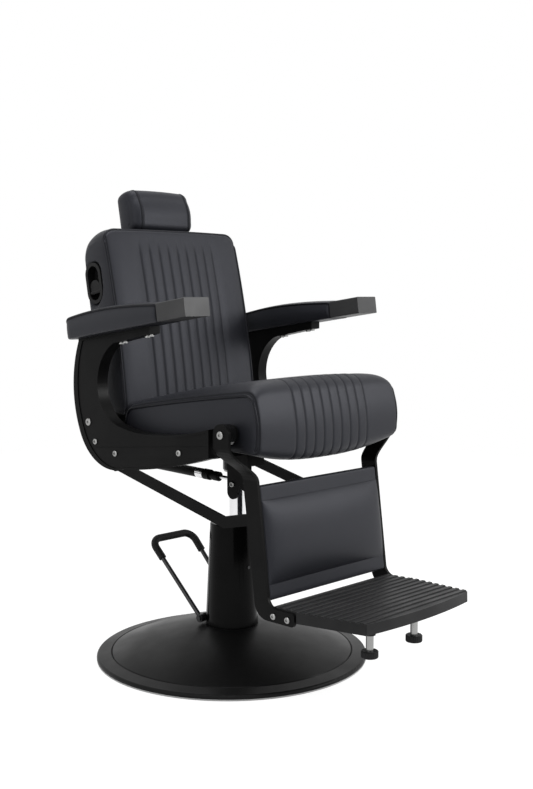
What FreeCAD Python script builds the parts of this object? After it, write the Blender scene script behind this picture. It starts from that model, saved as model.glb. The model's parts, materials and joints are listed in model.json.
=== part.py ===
import FreeCAD
import Part
import math
import os

# Barber chair on a round lift base. Millimetres, +Z up, the sitter faces -Y, left is +X.
# The origin is the centre of the base on the floor, at the height setting of the photograph.

V = FreeCAD.Vector
X_AXIS = V(1, 0, 0)
Y_AXIS = V(0, 1, 0)
Z_AXIS = V(0, 0, 1)
ORIGIN = V(0, 0, 0)
SIDES = (("left", 1), ("right", -1))

# Fits
RUN_FIT = 0.05        # radial play of a pin or ram that turns or slides
SOFT_GAP = 0.3        # padding to what carries it
SIDE_GAP = 1.0        # flat moving plates side by side
TURN_GAP = 0.5        # flat faces that turn on one bolt

# Base and column
BASE_R = 350.0
BASE_SHEET = 2.5
BASE_RISE = 80.0      # dome height above the floor ring
RIM_RISE = 10.0
RIM_WIDTH = 36.0
GROOVE_DEPTH = 2.5
FLOOR_RING_H = 4.0
FLOOR_RING_W = 16.0
FLOOR_RING_IN = 0.5   # set in from the cover's edge
WEIGHT_H = 12.0
COLUMN_FOOT_R = 68.5
COLUMN_TOP_R = 56.0
COLUMN_H = 259.0
COLUMN_SHEET = 3.0
CAP_H = 6.0
CAP_SPIGOT_H = 6.0
CAP_PLAY = 2.0        # cap to ram
COLUMN_SEAT_W = 9.0
COLUMN_SCREW_Z = 239.0
COLUMN_SCREW_R = 4.0
COLUMN_SCREW_L = 6.0
COLUMN_SCREW_HEAD = 2.0

# Lift
RAM_Y = -20.0         # the ram stands ahead of the column centre
RAM_R = 20.0
LIFT_DOWN = 100.0
RAM_END_GAP = 4.0
PUMP_WALL = 8.0
PUMP_FLOOR = 6.0
PUMP_TOP_GAP = 9.0

# Pump lever
SHAFT_Y = 50.0
SHAFT_Z = 98.0
SHAFT_R = 7.0
SHAFT_END = 4.0
BUSH_WALL = 3.5
BUSH_IN = 4.0
BUSH_OUT = 6.0
CAM_R = 11.0
CAM_LOBE = 6.0
CAM_W = 18.0
LEVER_X = 64.0        # lever arms at the shaft
LEVER_TOP_X = 72.0    # lever arms at the grip
LEVER_LENGTH = 259.0
LEVER_ANGLE = 43.6
LEVER_ROD_R = 6.0
LEVER_BEND_R = 28.0
LEVER_EYE_R = 11.0
LEVER_EYE_W = 12.0
GRIP_WALL = 4.0
GRIP_TAIL = 34.0

# Seat platform, built level and then tilted up to the front
SEAT_Z = 532.0        # underside of the frame above the base centre
SEAT_TILT = 8.0
FRAME_TUBE_H = 20.0
FRAME_TUBE_W = 30.0
FRAME_SIDE_X = 176.0
FRAME_FRONT = 215.0
FRAME_REAR = 72.0
TAB_W = 56.0
TAB_L = 38.0
TAB_H = 28.0
MOUNT_T = 8.0
MOUNT_W = 220.0
HUB_WALL = 16.0
HUB_H = 34.0          # below the mount plate at the base centre
HUB_GRIP = 30.0
WASHER_T = 5.0
WASHER_W = 14.0
PAN_T = 12.0
PAN_W = 466.0
PAN_FRONT = 240.0
PAN_REAR = 96.0
SEAT_W = 496.0
SEAT_FRONT = 352.0
SEAT_REAR = 116.0
SEAT_THICK = 108.0
SEAT_CROWN = 10.0
SEAT_PLUMP = 20.0     # the stuffing rises steeply behind the side seams
SEAT_DIP = 0.4        # share of the crown missing at the rear
SEAT_ROLL_DROP = 57.0
SEAT_NOSE = 46.0      # run of the rounded upper front edge
SEAT_BELLY = 4.0      # forward swell of the front face
SEAT_CLEAR = 12.0     # pad to side plates
CHANNELS = 9
SEAT_PITCH = 31.6
CHANNEL_DEPTH = 5.0
CHANNEL_HALF = 7.0

# Arm frames, outlines given as (y, z)
ARM_T = 32.0
ARM_LIMB_TOP = 818.0
ARM_NOSE_LOW = (-235.0, 568.5)     # front end of the lower limb
ARM_NOSE_TOP = 634.5
ARM_BELLY = (-86.7, 532.4)         # lower edge, front to rear
ARM_SOLE = (71.0, 511.0)
ARM_HEEL = (180.0, 524.0)
ARM_REAR_LOW = (241.0, 594.0)
ARM_REAR_MID = (264.5, 710.0)
ARM_REAR_Y = 241.0
ARM_CROOK = (148.1, 776.5)         # edge of the opening, top to front
ARM_THROAT = (166.0, 716.0)
ARM_THROAT_LOW = (147.3, 656.9)
ARM_LAP_REAR = (98.0, 619.4)
ARM_LAP = (59.6, 610.4)
ARM_LAP_FRONT = (-33.7, 605.7)
ARM_LAP_RISE = (-140.0, 614.5)
STRIP_TOP = ((183.0, 554.8), (-231.0, 595.4))   # raised strip along the lower limb
STRIP_LOW = ((150.0, 531.7), (-231.0, 570.6))
ARM_UNDER_FRONT = (-35.0, 843.0)   # underside of the arm frame's upper limb
ARM_UNDER_REAR = (100.0, 817.5)
SIDE_PLATE_T = 8.0
PLATE_EAR_R = 22.0    # round ends of the inner plates about both pivots
PLATE_TOP = ((62.0, 580.0), (-203.0, 617.0))       # their corners from pivot to pivot
PLATE_LOW = ((-223.0, 575.0), (71.0, 517.0), (183.0, 540.0))
RIM_LINE = 5.0
RIM_REAR = 17.0       # wider along the rear edge
RIM_LIFT = 5.0
RIM_SINK = 2.0
BOLT_R = 5.0
BOLT_HEAD_R = 7.5
BOLT_HEAD_H = 4.0
BOLT_SOCKET_R = 3.6   # corners of the six-sided socket
BOLT_SOCKET_DEEP = 2.4
ARM_BOLTS = ((179.0, 570.0), (98.0, 548.0), (-136.0, 572.0))
ARM_SLOPE = 8.0
PAD_W = 75.0
PAD_OUT = 16.0        # arm pads sit this far outboard of the frame middle
PAD_H = 46.0
PAD_CROWN = 16.0
PAD_REAR_Y = 246.0
PAD_REAR_Z = 822.0
PAD_L = 357.0
ARM_END_L = 97.0
ARM_END_H = 43.0
PAD_SCREW_R = 4.0
PAD_SCREW_HEAD_R = 6.5
PAD_SCREW_HEAD_H = 3.0
PAD_SCREW_IN = 16.0
PAD_SCREW_Y = (82.0, -16.0)
PAD_SCREW_PITCH = 15.0
PIVOT_R = 8.0
PIVOT_HEAD_R = 9.5

# Recline pivot, leg-rest pivot and push links, all (y, z)
BACK_PIVOT = (206.0, 617.0)
LEG_PIVOT = (-268.0, 624.0)
LINK_REAR = (207.0, 496.5)
LINK_FRONT = (-283.0, 425.0)
LINK_BEND = (-186.0, 404.0)
LINK_X = 200.0        # inner face of the links
LINK_T = 6.0
LINK_W = 28.0
LINK_PIN_R = 6.0
PIN_HEAD = 3.0        # overhang and thickness of the pins' heads
LINK_PIN_IN = 6.0     # depth of the front pins in the leg-rest arms
LINK_PIN_PLAY = 2.4   # the opened pivot
SPACER_WALL = 4.0
SPOOL_R = 24.0        # spool beside the leg-rest arm

# Leg rest
LEG_SPACE = 18.0      # arm frame plate to leg-rest arm
LEG_ARM_T = 8.0
LEG_ARM_W = 45.0
LEG_ARM_X = 208.0     # inner face of the lower arms
LEG_TAB_R = 25.0
LEG_TAB_LOW = 594.0   # the crank runs from here down to the knee
LEG_KNEE_Z = 516.0
LEG_CRANK_STEPS = 10
LEG_TOP = (-306.0, 504.0)
LEG_LOW = (-339.0, 246.0)
PANEL_T = 16.0
CALF_TOP = 33.0
CALF_LOW = 35.0
CALF_PUFF = 16.0
FOOT_REAR_Y = -343.0
FOOT_L = 273.0
FOOT_TOP_Z = 233.0
FOOT_SLOPE = 1.8
FOOT_T = 24.0
FOOT_W = 424.0
FOOT_FRONT_W = 378.0
FOOT_BOW = 15.0
FOOT_CORNER = 4.0
FOOT_TAB_L = 76.0
FOOT_TAB_H = 30.0
FOOT_BOLT_PITCH = 43.0
FOOT_BOLT_IN = 14.0
RIBS = 12
RIB_H = 2.5
RIB_W = 12.0
LEVELLER_X = 82.0
LEVELLER_Y = -525.0
LEVELLER_R = 8.75
KNOB_R = 19.7
KNOB_H = 16.0
KNOB_Z = 129.0
KNOB_GROOVES = 24
SOCKET_WALL = 4.5
SOCKET_H = 34.0
STUD_IN = 26.0
STUD_WELL = 16.0

# Backrest, built upright and then raked
BACK_Y = 142.0
BACK_Z = 660.0
BACK_RAKE = 10.7
BACK_W = 456.0
BACK_T = 96.0
BACK_H = 452.0
BACK_LOW = -3.0
BACK_CROWN = 8.0
BACK_BULGE = 11.0     # the face swells from side to side
BACK_CORNER = 28.0
BACK_PITCH = 31.6
BOARD_T = 14.0
BOARD_DEPTH = 44.0
BOARD_W = 400.0
BOARD_TOP = 390.0
BOARD_LOW = -56.0
HINGE_PLATE_T = 8.0
HINGE_PLATE_R = 25.0
HINGE_ARM_W = 28.0
HINGE_EAR_FRONT = 18.0   # ears of the hinge plates, ahead of the board, behind it and under the pad
HINGE_EAR_REAR = 24.0
HINGE_EAR_GAP = 2.0
TUBE_AT = (207.0, 556.0)
TUBE_R = 10.0

# Recline gas spring
GAS_X = -80.0
GAS_REAR = (226.0, 488.0)
GAS_FRONT = (-150.0, 478.0)
GAS_R = 12.5
GAS_EYE_R = 15.0
GAS_PIN_R = 8.0
GAS_EAR_T = 6.0
GAS_EAR_WALL = 4.5    # around the pin
TUBE_EAR_WALL = 5.0   # around the cross tube
GAS_EYE_W = 24.0
GAS_BODY_L = 186.0
GAS_RING_L = 26.0
GAS_GLAND_L = 53.0
GAS_GLAND_R = 9.5
GAS_ROD_R = 5.0
GAS_ROD_IN = 120.0
ROD_EYE_W = 14.0
ROD_EYE_R = 13.0
ROD_PIN_R = 5.0
ROD_PIN_PLAY = 2.0    # the opened pivot, a short upright slot
ROD_SLOT_REACH = 3.4
BRACKET_T = 6.0
BRACKET_GAP = 8.5
BRACKET_BOLT = (-107.0, 472.0)
BRACKET_LOW = 435.0
BRACKET_LOBE = 18.0

# Release handle in the right side of the back, (depth, height) on the back
HANDLE_AT = (64.0, 321.0)
BEZEL_H = 106.0
BEZEL_W = 62.0
BEZEL_DEEP = 22.0
BEZEL_PROUD = 4.0
BEZEL_WALL = 9.0
BEZEL_FLOOR = 3.0
PADDLE_W = 40.0
PADDLE_H = 30.0       # pin to tip
PADDLE_ARCH = 18.0    # rise of the round tip
PADDLE_T = 6.0
PADDLE_PIN_R = 2.5
PADDLE_PIN_IN = 6.0   # pin below the bezel's face
PADDLE_PIN_UP = 22.0  # pin above the lower end of the bezel's pocket
PADDLE_PIN_GRIP = 5.0  # pin in the bezel's walls
PADDLE_HEEL = 5.0     # paddle below its pin
PADDLE_BARREL = 2.5   # wall around the pin

# Headrest
HEAD_W = 206.0
HEAD_T = 72.0
HEAD_H = 110.0
HEAD_GAP = 5.0
HEAD_BACK = 20.0      # set back from the front of the backrest
HEAD_CROWN = 6.0
POST_W = 34.0
POST_T = 8.0
POST_IN = 190.0
POST_UP = 60.0
GUIDE_WALL = 4.0
GUIDE_L = 210.0
GUIDE_IN = 12.0       # its top below the top of the back
HEAD_PLATE_W = 120.0
HEAD_PLATE_LOW = 18.0  # above the headrest's lower edge
HEAD_SCREW_R = 4.5
HEAD_SCREW_L = 13.0
HEAD_SCREW_IN = 16.0
HEAD_SCREW_LOW = 24.0
HEAD_SCREW_PITCH = 32.0

# Worked out from the sizes above
base_top = FLOOR_RING_H + BASE_RISE
column_top = base_top + COLUMN_H
cap_top = column_top + CAP_H
ram_axis = V(0, RAM_Y, 0)
arm_in_x = SEAT_W / 2 + SEAT_CLEAR + SIDE_PLATE_T
arm_out_x = arm_in_x + ARM_T
side_plate_x = arm_in_x - SIDE_PLATE_T
hinge_plate_x = LINK_X + LINK_T + 2 * SIDE_GAP
tilt_tan = math.tan(math.radians(SEAT_TILT))
arm_tan = math.tan(math.radians(ARM_SLOPE))
leg_lean = (LEG_TOP[0] - LEG_LOW[0]) / (LEG_TOP[1] - LEG_LOW[1])


def cylinder(start, direction, radius, length):
    """Round bar from a point along a direction."""
    return Part.makeCylinder(radius, length, start, direction)


def x_bar(yz, radius, x_low, x_high):
    """Round bar along X through a side-view point."""
    return cylinder(V(x_low, yz[0], yz[1]), X_AXIS, radius, x_high - x_low)


def x_bar_on(side, yz, radius, near, far):
    """Round bar along X between two distances from the middle plane, on one side."""
    low, high = sorted((side * near, side * far))
    return x_bar(yz, radius, low, high)


def block(x_low, x_high, y_low, y_high, z_low, z_high):
    """Rectangular block between two corners."""
    return Part.makeBox(x_high - x_low, y_high - y_low, z_high - z_low, V(x_low, y_low, z_low))


def path_edges(points, place):
    """Edges through points; a pair of points means an arc through the first to the second."""
    edges = []
    last = points[0]
    for step in points[1:]:
        if isinstance(step[0], tuple):
            edges.append(Part.Arc(place(last), place(step[0]), place(step[1])).toShape())
            last = step[1]
        else:
            edges.append(Part.makeLine(place(last), place(step)))
            last = step
    return edges


def side_wire(x, points):
    """Closed side-view outline at one X, points as (y, z)."""
    return Part.Wire(path_edges(points, lambda p: V(x, p[0], p[1])))


def side_plate(x_low, x_high, points):
    """Plate of a side-view outline between two X positions."""
    face = Part.Face(side_wire(x_low, points))
    return face.extrude(V(x_high - x_low, 0, 0))


def plate_on(side, near, far, points):
    """Side-view plate between two distances from the middle plane, on one side."""
    low, high = sorted((side * near, side * far))
    return side_plate(low, high, points)


def turned(points):
    """Solid of revolution about Z, points as (radius, z)."""
    face = Part.Face(Part.Wire(path_edges(points, lambda p: V(p[0], 0, p[1]))))
    return face.revolve(ORIGIN, Z_AXIS, 360)


def loft(wires):
    """Closed solid with straight rulings from section to section."""
    return Part.makeLoft(wires, True, True)


def capsule(start, end, radius, bulge=None):
    """Outline of a bar with round ends between two side-view points."""
    dy, dz = end[0] - start[0], end[1] - start[1]
    length = math.hypot(dy, dz)
    u, w = (dy / length, dz / length), (-dz / length, dy / length)

    def at(p, along, across):
        return (p[0] + along * u[0] + across * w[0], p[1] + along * u[1] + across * w[1])

    r = bulge or radius
    return [at(start, 0, r), (at(start, -r, 0), at(start, 0, -r)), at(end, 0, -radius),
            (at(end, radius, 0), at(end, 0, radius)), at(start, 0, r)]


def on_seat(shape):
    """Tilt a level seat piece up to the front; Z = 0 is the underside of the frame."""
    return shape.rotated(ORIGIN, X_AXIS, -SEAT_TILT).translated(V(0, 0, SEAT_Z))


def on_back(shape):
    """Rake an upright back piece; Y is depth behind the front face, Z height up the back."""
    return shape.rotated(ORIGIN, X_AXIS, -BACK_RAKE).translated(V(0, BACK_Y, BACK_Z))


def on_arm(shape):
    """Slope a level arm piece up to the front; Y = 0 is the rear end, Z = 0 the underside."""
    return shape.rotated(ORIGIN, X_AXIS, -ARM_SLOPE).translated(V(0, PAD_REAR_Y, PAD_REAR_Z))


def arm_under(y):
    """Height of the arm pad's underside at one Y."""
    return PAD_REAR_Z + (PAD_REAR_Y - y) * arm_tan


def group(shapes):
    """Several separate solids in one piece list."""
    return Part.makeCompound(shapes)


def save(name, shape):
    """Write one piece."""
    shape.exportStep("parts/" + name + ".step")


def domed_base():
    """Weight disc, floor ring and the domed cover with a groove inside its rim."""
    weight_r = BASE_R - FLOOR_RING_W
    weight = cylinder(ORIGIN, Z_AXIS, weight_r, WEIGHT_H)
    ring = cylinder(ORIGIN, Z_AXIS, BASE_R - FLOOR_RING_IN, FLOOR_RING_H)
    ring = ring.cut(cylinder(ORIGIN, Z_AXIS, weight_r, FLOOR_RING_H))
    z0 = FLOOR_RING_H
    rim = BASE_R - RIM_WIDTH
    seat_r = COLUMN_FOOT_R + COLUMN_SEAT_W
    hole_r = COLUMN_FOOT_R - COLUMN_SEAT_W
    mid_r = (rim + seat_r) / 2
    mid_z = (z0 + RIM_RISE + 6.0 + base_top) / 2 + 8.0
    s = BASE_SHEET
    dome = turned([
        (BASE_R, z0), (BASE_R, z0 + 4.0),
        ((BASE_R - 2.0, z0 + 8.0), (BASE_R - 7.0, z0 + RIM_RISE)),
        (rim, z0 + RIM_RISE + 5.0),
        (rim - 2.5, z0 + RIM_RISE + 5.0 - GROOVE_DEPTH),
        (rim - 5.0, z0 + RIM_RISE + 6.0),
        ((mid_r, mid_z), (seat_r, base_top)),
        (hole_r, base_top), (hole_r, base_top - s), (seat_r, base_top - s),
        ((mid_r, mid_z - s), (rim - 5.0, z0 + RIM_RISE + 6.0 - 2 * s)),
        (BASE_R - 7.0, z0 + RIM_RISE - s),
        (BASE_R - s, z0 + 4.0), (BASE_R - s, z0), (BASE_R, z0)])
    save("base_weight", weight)
    save("floor_ring", ring)
    save("base_cover", dome)


def column():
    """Tapered column cover with holes for the lever shaft, and its cap with an offset ram hole."""
    s = COLUMN_SHEET
    skin = turned([(COLUMN_FOOT_R, base_top), (COLUMN_TOP_R, column_top),
                   (COLUMN_TOP_R - s, column_top), (COLUMN_FOOT_R - s, base_top),
                   (COLUMN_FOOT_R, base_top)])
    bush_r = SHAFT_R + RUN_FIT + BUSH_WALL
    skin = skin.cut(x_bar((SHAFT_Y, SHAFT_Z), bush_r, -BASE_R, BASE_R))
    taper = (COLUMN_FOOT_R - COLUMN_TOP_R) / COLUMN_H
    wall_r = COLUMN_FOOT_R - taper * (SHAFT_Z - base_top)
    wall_x = math.sqrt(wall_r ** 2 - SHAFT_Y ** 2)
    bushes = []
    for _, side in SIDES:
        bush = x_bar_on(side, (SHAFT_Y, SHAFT_Z), bush_r, wall_x - s - BUSH_IN, wall_x + BUSH_OUT)
        bushes.append(bush.cut(x_bar((SHAFT_Y, SHAFT_Z), SHAFT_R + RUN_FIT, -BASE_R, BASE_R)))
    front_r = COLUMN_FOOT_R - taper * (COLUMN_SCREW_Z - base_top)
    screw_at = V(0, -front_r - COLUMN_SCREW_HEAD, COLUMN_SCREW_Z)
    screw_reach = COLUMN_SCREW_HEAD + COLUMN_SCREW_L
    screw_hole = cylinder(screw_at, Y_AXIS, COLUMN_SCREW_R * 0.6, screw_reach)
    skin = skin.cut(screw_hole)
    screw_head = cylinder(screw_at, Y_AXIS, COLUMN_SCREW_R, COLUMN_SCREW_HEAD)
    screw = screw_hole.fuse(screw_head.cut(skin)).removeSplitter()
    inner = COLUMN_TOP_R - s
    cap = turned([(0, column_top - CAP_SPIGOT_H), (inner, column_top - CAP_SPIGOT_H), (inner, column_top),
                  (COLUMN_TOP_R, column_top), (COLUMN_TOP_R, column_top + CAP_H / 2),
                  ((COLUMN_TOP_R - 1.2, cap_top - 1.2), (COLUMN_TOP_R - 4.0, cap_top)),
                  (0, cap_top), (0, column_top - CAP_SPIGOT_H)])
    cap = cap.cut(cylinder(ram_axis, Z_AXIS, RAM_R + CAP_PLAY, cap_top + 1.0))
    save("column_cover", skin)
    save("shaft_bushes", group(bushes))
    save("column_cap", cap)
    save("column_screw", screw)


def pump():
    """Hydraulic cylinder on the weight disc, the ram and the washer the seat turns on."""
    bore = RAM_R + RUN_FIT
    low = WEIGHT_H
    top = column_top - CAP_SPIGOT_H - PUMP_TOP_GAP
    barrel = cylinder(V(0, RAM_Y, low), Z_AXIS, bore + PUMP_WALL, top - low)
    barrel = barrel.cut(cylinder(V(0, RAM_Y, low + PUMP_FLOOR), Z_AXIS, bore, top))
    ram_low = low + PUMP_FLOOR + RAM_END_GAP + LIFT_DOWN
    ram = cylinder(V(0, RAM_Y, ram_low), Z_AXIS, RAM_R, hub_low() + HUB_GRIP - ram_low)
    washer_z = hub_low() - WASHER_T
    washer = cylinder(V(0, RAM_Y, washer_z), Z_AXIS, RAM_R + WASHER_W, WASHER_T)
    washer = washer.cut(cylinder(V(0, RAM_Y, washer_z), Z_AXIS, RAM_R, WASHER_T))
    save("pump_cylinder", barrel)
    save("lift_ram", ram)
    save("swivel_washer", washer)


def hub_low():
    """Height of the hub's lower face."""
    return SEAT_Z - MOUNT_T - HUB_H


def pump_lever():
    """Cross shaft with its cam, the bent lever rod with two eyes, and the rubber grip."""
    shaft_x = LEVER_X + LEVER_EYE_W / 2 + SHAFT_END
    at = (SHAFT_Y, SHAFT_Z)
    shaft = x_bar(at, SHAFT_R, -shaft_x, shaft_x)
    shaft = shaft.fuse(x_bar(at, CAM_R, -CAM_W / 2, CAM_W / 2))
    lobe = x_bar((SHAFT_Y, SHAFT_Z + CAM_LOBE), SHAFT_R, -CAM_W / 2, CAM_W / 2)
    shaft = shaft.fuse(lobe).removeSplitter()
    a = math.radians(LEVER_ANGLE)

    def place(p):
        return V(p[0], SHAFT_Y + p[1] * math.cos(a), SHAFT_Z + p[1] * math.sin(a))

    x, top, r, end = LEVER_X, LEVER_TOP_X, LEVER_BEND_R, LEVER_LENGTH
    spread = math.atan((top - x) / end)
    tangent = r / math.tan((math.pi / 2 - spread) / 2)

    def arm_x(along):
        return x + (top - x) * along / end

    near = end - tangent * math.cos(spread)
    middle = (top - tangent, end - r)
    reach = math.hypot(tangent, r)
    bow = (middle[0] + r * tangent / reach, middle[1] + r * r / reach)

    def u_path(start):
        return [(-arm_x(start), start), (-arm_x(near), near), ((-bow[0], bow[1]), (-middle[0], end)),
                (middle[0], end), (bow, (arm_x(near), near)), (arm_x(start), start)]

    def swept(start, radius):
        path = u_path(start)
        spine = Part.Wire(path_edges(path, place))
        ring = Part.Wire(Part.makeCircle(radius, place(path[0]), place(path[1]) - place(path[0])))
        return spine.makePipeShell([ring], True, False)

    rod = swept(SHAFT_R, LEVER_ROD_R)
    for _, side in SIDES:
        half = LEVER_EYE_W / 2
        rod = rod.fuse(x_bar_on(side, at, LEVER_EYE_R, x - half, x + half))
    rod = rod.cut(x_bar(at, SHAFT_R, -2 * x, 2 * x)).removeSplitter()
    tail = near - GRIP_TAIL
    grip = swept(tail, LEVER_ROD_R + GRIP_WALL).cut(swept(tail - 1.0, LEVER_ROD_R))
    save("pump_shaft", shaft)
    save("pump_lever_rod", rod)
    save("pump_lever_grip", grip)


def seat_platform():
    """Hub, mount plate, welded frame and plywood pan."""
    bore = RAM_R + RUN_FIT
    hub_z = hub_low()
    hub = cylinder(V(0, RAM_Y, hub_z), Z_AXIS, bore + HUB_WALL, 2 * HUB_H)
    hub = hub.cut(cylinder(V(0, RAM_Y, hub_z), Z_AXIS, bore, HUB_GRIP))
    above = on_seat(block(-MOUNT_W, MOUNT_W, -MOUNT_W, MOUNT_W, -MOUNT_T, 3 * HUB_H))
    hub = hub.cut(above)
    plate = on_seat(block(-MOUNT_W / 2, MOUNT_W / 2, -FRAME_FRONT, FRAME_REAR, -MOUNT_T, 0))
    h, w = FRAME_TUBE_H, FRAME_TUBE_W
    frame = block(-side_plate_x, side_plate_x, -FRAME_FRONT, -FRAME_FRONT + w, 0, h)
    frame = frame.fuse(block(-side_plate_x, side_plate_x, FRAME_REAR - w, FRAME_REAR, 0, h))
    for _, side in SIDES:
        near, far = sorted((side * (FRAME_SIDE_X - w), side * FRAME_SIDE_X))
        frame = frame.fuse(block(near, far, -FRAME_FRONT, FRAME_REAR, 0, h))
        tab = sorted((side * (FRAME_SIDE_X - TAB_W), side * FRAME_SIDE_X))
        y_tab = -FRAME_FRONT - TAB_L / 2
        frame = frame.fuse(block(tab[0], tab[1], y_tab, y_tab + TAB_L, -TAB_H, 0))
    frame = on_seat(frame.removeSplitter())
    for _, side in SIDES:
        low, high = sorted((side * side_plate_x, side * BASE_R))
        frame = frame.cut(block(low, high, -BASE_R, BASE_R, 0, 2 * SEAT_Z))
    pan = on_seat(block(-PAN_W / 2, PAN_W / 2, -PAN_FRONT, PAN_REAR, h, h + PAN_T))
    save("seat_hub", hub)
    save("seat_mount_plate", plate)
    save("seat_frame", frame)
    save("seat_pan", pan)


def channel_sections(pitch, half_width, pulls):
    """X positions and groove depths of a channelled cushion from side to side."""
    rows = []
    for i in range(CHANNELS):
        x = (i - (CHANNELS - 1) / 2) * pitch
        rows += [(x - CHANNEL_HALF, 0.5), (x, CHANNEL_DEPTH), (x + CHANNEL_HALF, 0.5)]
    inner = half_width - 26.0
    edges = list(zip((half_width, half_width - 3.0, half_width - 10.0), pulls))
    left = [(-x, 0.0, pull) for x, pull in edges] + [(-inner, 0.0, 0.0)]
    right = [(inner, 0.0, 0.0)] + [(x, 0.0, pull) for x, pull in reversed(edges)]
    return left + [(x, groove, 0.0) for x, groove in rows] + right


def seat_cushion():
    """Thick seat pad, crowned across, with a front roll over the pan and sewn channels."""
    under = FRAME_TUBE_H + PAN_T + SOFT_GAP
    top = under + SEAT_THICK
    half, nose = SEAT_W / 2, SEAT_NOSE
    wires = []
    for x, groove, pull in channel_sections(SEAT_PITCH, half, (6.0, 3.0, 0.8)):
        share = abs(x / half)
        crown = SEAT_CROWN * (1 - share ** 2) + SEAT_PLUMP * (1 - share ** 8)
        rise = crown - groove - pull
        dip = crown * SEAT_DIP
        front = -SEAT_FRONT + groove + pull
        rear = SEAT_REAR - pull
        roll = under - SEAT_ROLL_DROP + pull + SEAT_ROLL_DROP * 0.5 * share ** 4
        lip = -PAN_FRONT - 8.0
        wires.append(side_wire(x, [
            (rear - 8.0, under), ((rear, under + SEAT_THICK / 2), (rear - 10.0, top - 24.0 + rise - dip)),
            ((rear - 18.0, top - 7.0 + rise - dip), (rear - 36.0, top + rise - dip)),
            (((front + rear) / 2, top + 3.0 + rise - dip * 0.3), (front + nose, top + rise)),
            ((front + nose * 0.29, top - nose * 0.29 + rise), (front, top - nose + rise)),
            ((front - SEAT_BELLY, (top + roll + rise) / 2), (front + 4.0, roll + 34.0)),
            ((front + 16.0, roll + 10.0), (front + nose, roll)),
            (lip, roll + 12.0), (lip, under), (rear - 8.0, under)]))
    save("seat_cushion", on_seat(loft(wires)))


def arm_frame_outline():
    """Side view of the C-shaped arm frame, as (y, z)."""
    y_front, y_bracket = ARM_NOSE_LOW[0], ARM_UNDER_FRONT[0]
    return [
        ARM_NOSE_LOW, (ARM_BELLY, ARM_SOLE), (ARM_HEEL, ARM_REAR_LOW),
        (ARM_REAR_MID, (ARM_REAR_Y, ARM_LIMB_TOP)),
        (ARM_REAR_Y, arm_under(ARM_REAR_Y)), (y_bracket, arm_under(y_bracket)),
        ARM_UNDER_FRONT, ARM_UNDER_REAR,
        (ARM_CROOK, ARM_THROAT), (ARM_THROAT_LOW, ARM_LAP_REAR), (ARM_LAP, ARM_LAP_FRONT),
        (ARM_LAP_RISE, (y_front, ARM_NOSE_TOP)), ARM_NOSE_LOW]


def arm_frames():
    """Pressed C frames with a raised rim, bolted to inner side plates that carry both pivots."""
    outline = arm_frame_outline()
    bolts, plates = [], []
    for name, side in SIDES:
        frame = plate_on(side, arm_in_x, arm_out_x, outline)
        sunk_x = arm_out_x - RIM_SINK
        inner = Part.Face(side_wire(side * arm_out_x, outline)).makeOffset2D(-RIM_LINE)
        sunk = inner.extrude(V(-side * RIM_SINK, 0, 0))
        sunk = sunk.common(plate_on(side, sunk_x, arm_out_x, outline).translated(V(0, -RIM_REAR, RIM_LIFT)))
        strip = [STRIP_TOP[0], STRIP_TOP[1], STRIP_LOW[1], STRIP_LOW[0], STRIP_TOP[0]]
        frame = frame.cut(sunk.cut(plate_on(side, sunk_x, arm_out_x, strip)))
        for at in ARM_BOLTS:
            frame = frame.cut(x_bar_on(side, at, BOLT_R, arm_in_x, arm_out_x))
        frame = frame.cut(x_bar_on(side, BACK_PIVOT, PIVOT_R, arm_in_x, arm_out_x))
        for y in pad_screw_rows():
            at = V(side * mid_screw_x(), y, screw_low(y + PAD_SCREW_HEAD_R) - PAD_SCREW_HEAD_H)
            frame = frame.cut(cylinder(at, Z_AXIS, PAD_SCREW_R, ARM_LIMB_TOP))
            frame = frame.cut(cylinder(at, Z_AXIS, PAD_SCREW_HEAD_R, PAD_SCREW_HEAD_H))
        save("arm_frame_" + name, frame)
        plate = plate_on(side, side_plate_x, arm_in_x, side_plate_outline())
        for at in ARM_BOLTS:
            plate = plate.cut(x_bar_on(side, at, BOLT_R, side_plate_x, arm_in_x))
            face = arm_out_x if at[0] < ARM_HEEL[0] - 20.0 else sunk_x
            shank = x_bar_on(side, at, BOLT_R, side_plate_x, face)
            bolts.append(shank.fuse(button_head(side, at, BOLT_HEAD_R, face)).removeSplitter())
        plate = plate.cut(x_bar_on(side, BACK_PIVOT, PIVOT_R, side_plate_x, arm_in_x))
        plate = plate.cut(x_bar_on(side, LEG_PIVOT, PIVOT_R, side_plate_x, arm_in_x))
        plates.append(plate)
    save("seat_side_plates", group(plates))
    save("arm_frame_bolts", group(bolts))


def button_head(side, at, radius, face):
    """Low domed bolt head with a six-sided socket, standing on a face beside the middle plane."""
    disc = x_bar_on(side, at, radius, face, face + BOLT_HEAD_H)
    edge = max(disc.Edges, key=lambda e: side * e.CenterOfMass.x)
    turns = [i * math.pi / 3 for i in range(7)]
    key = [(at[0] + BOLT_SOCKET_R * math.cos(a), at[1] + BOLT_SOCKET_R * math.sin(a)) for a in turns]
    top = face + BOLT_HEAD_H
    return disc.makeFillet(BOLT_HEAD_H * 0.7, [edge]).cut(plate_on(side, top - BOLT_SOCKET_DEEP, top, key))


def side_plate_outline():
    """Side view of the inner plate that ties the arm frame, the seat frame and both pivots."""
    by, bz = BACK_PIVOT
    ly, lz = LEG_PIVOT
    r = PLATE_EAR_R
    return [
        (by + r, bz), ((by, bz + r), (by - r, bz)), *PLATE_TOP, (ly, lz + r),
        ((ly - r, lz), (ly, lz - r)), *PLATE_LOW, (by + r, bz)]


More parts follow.
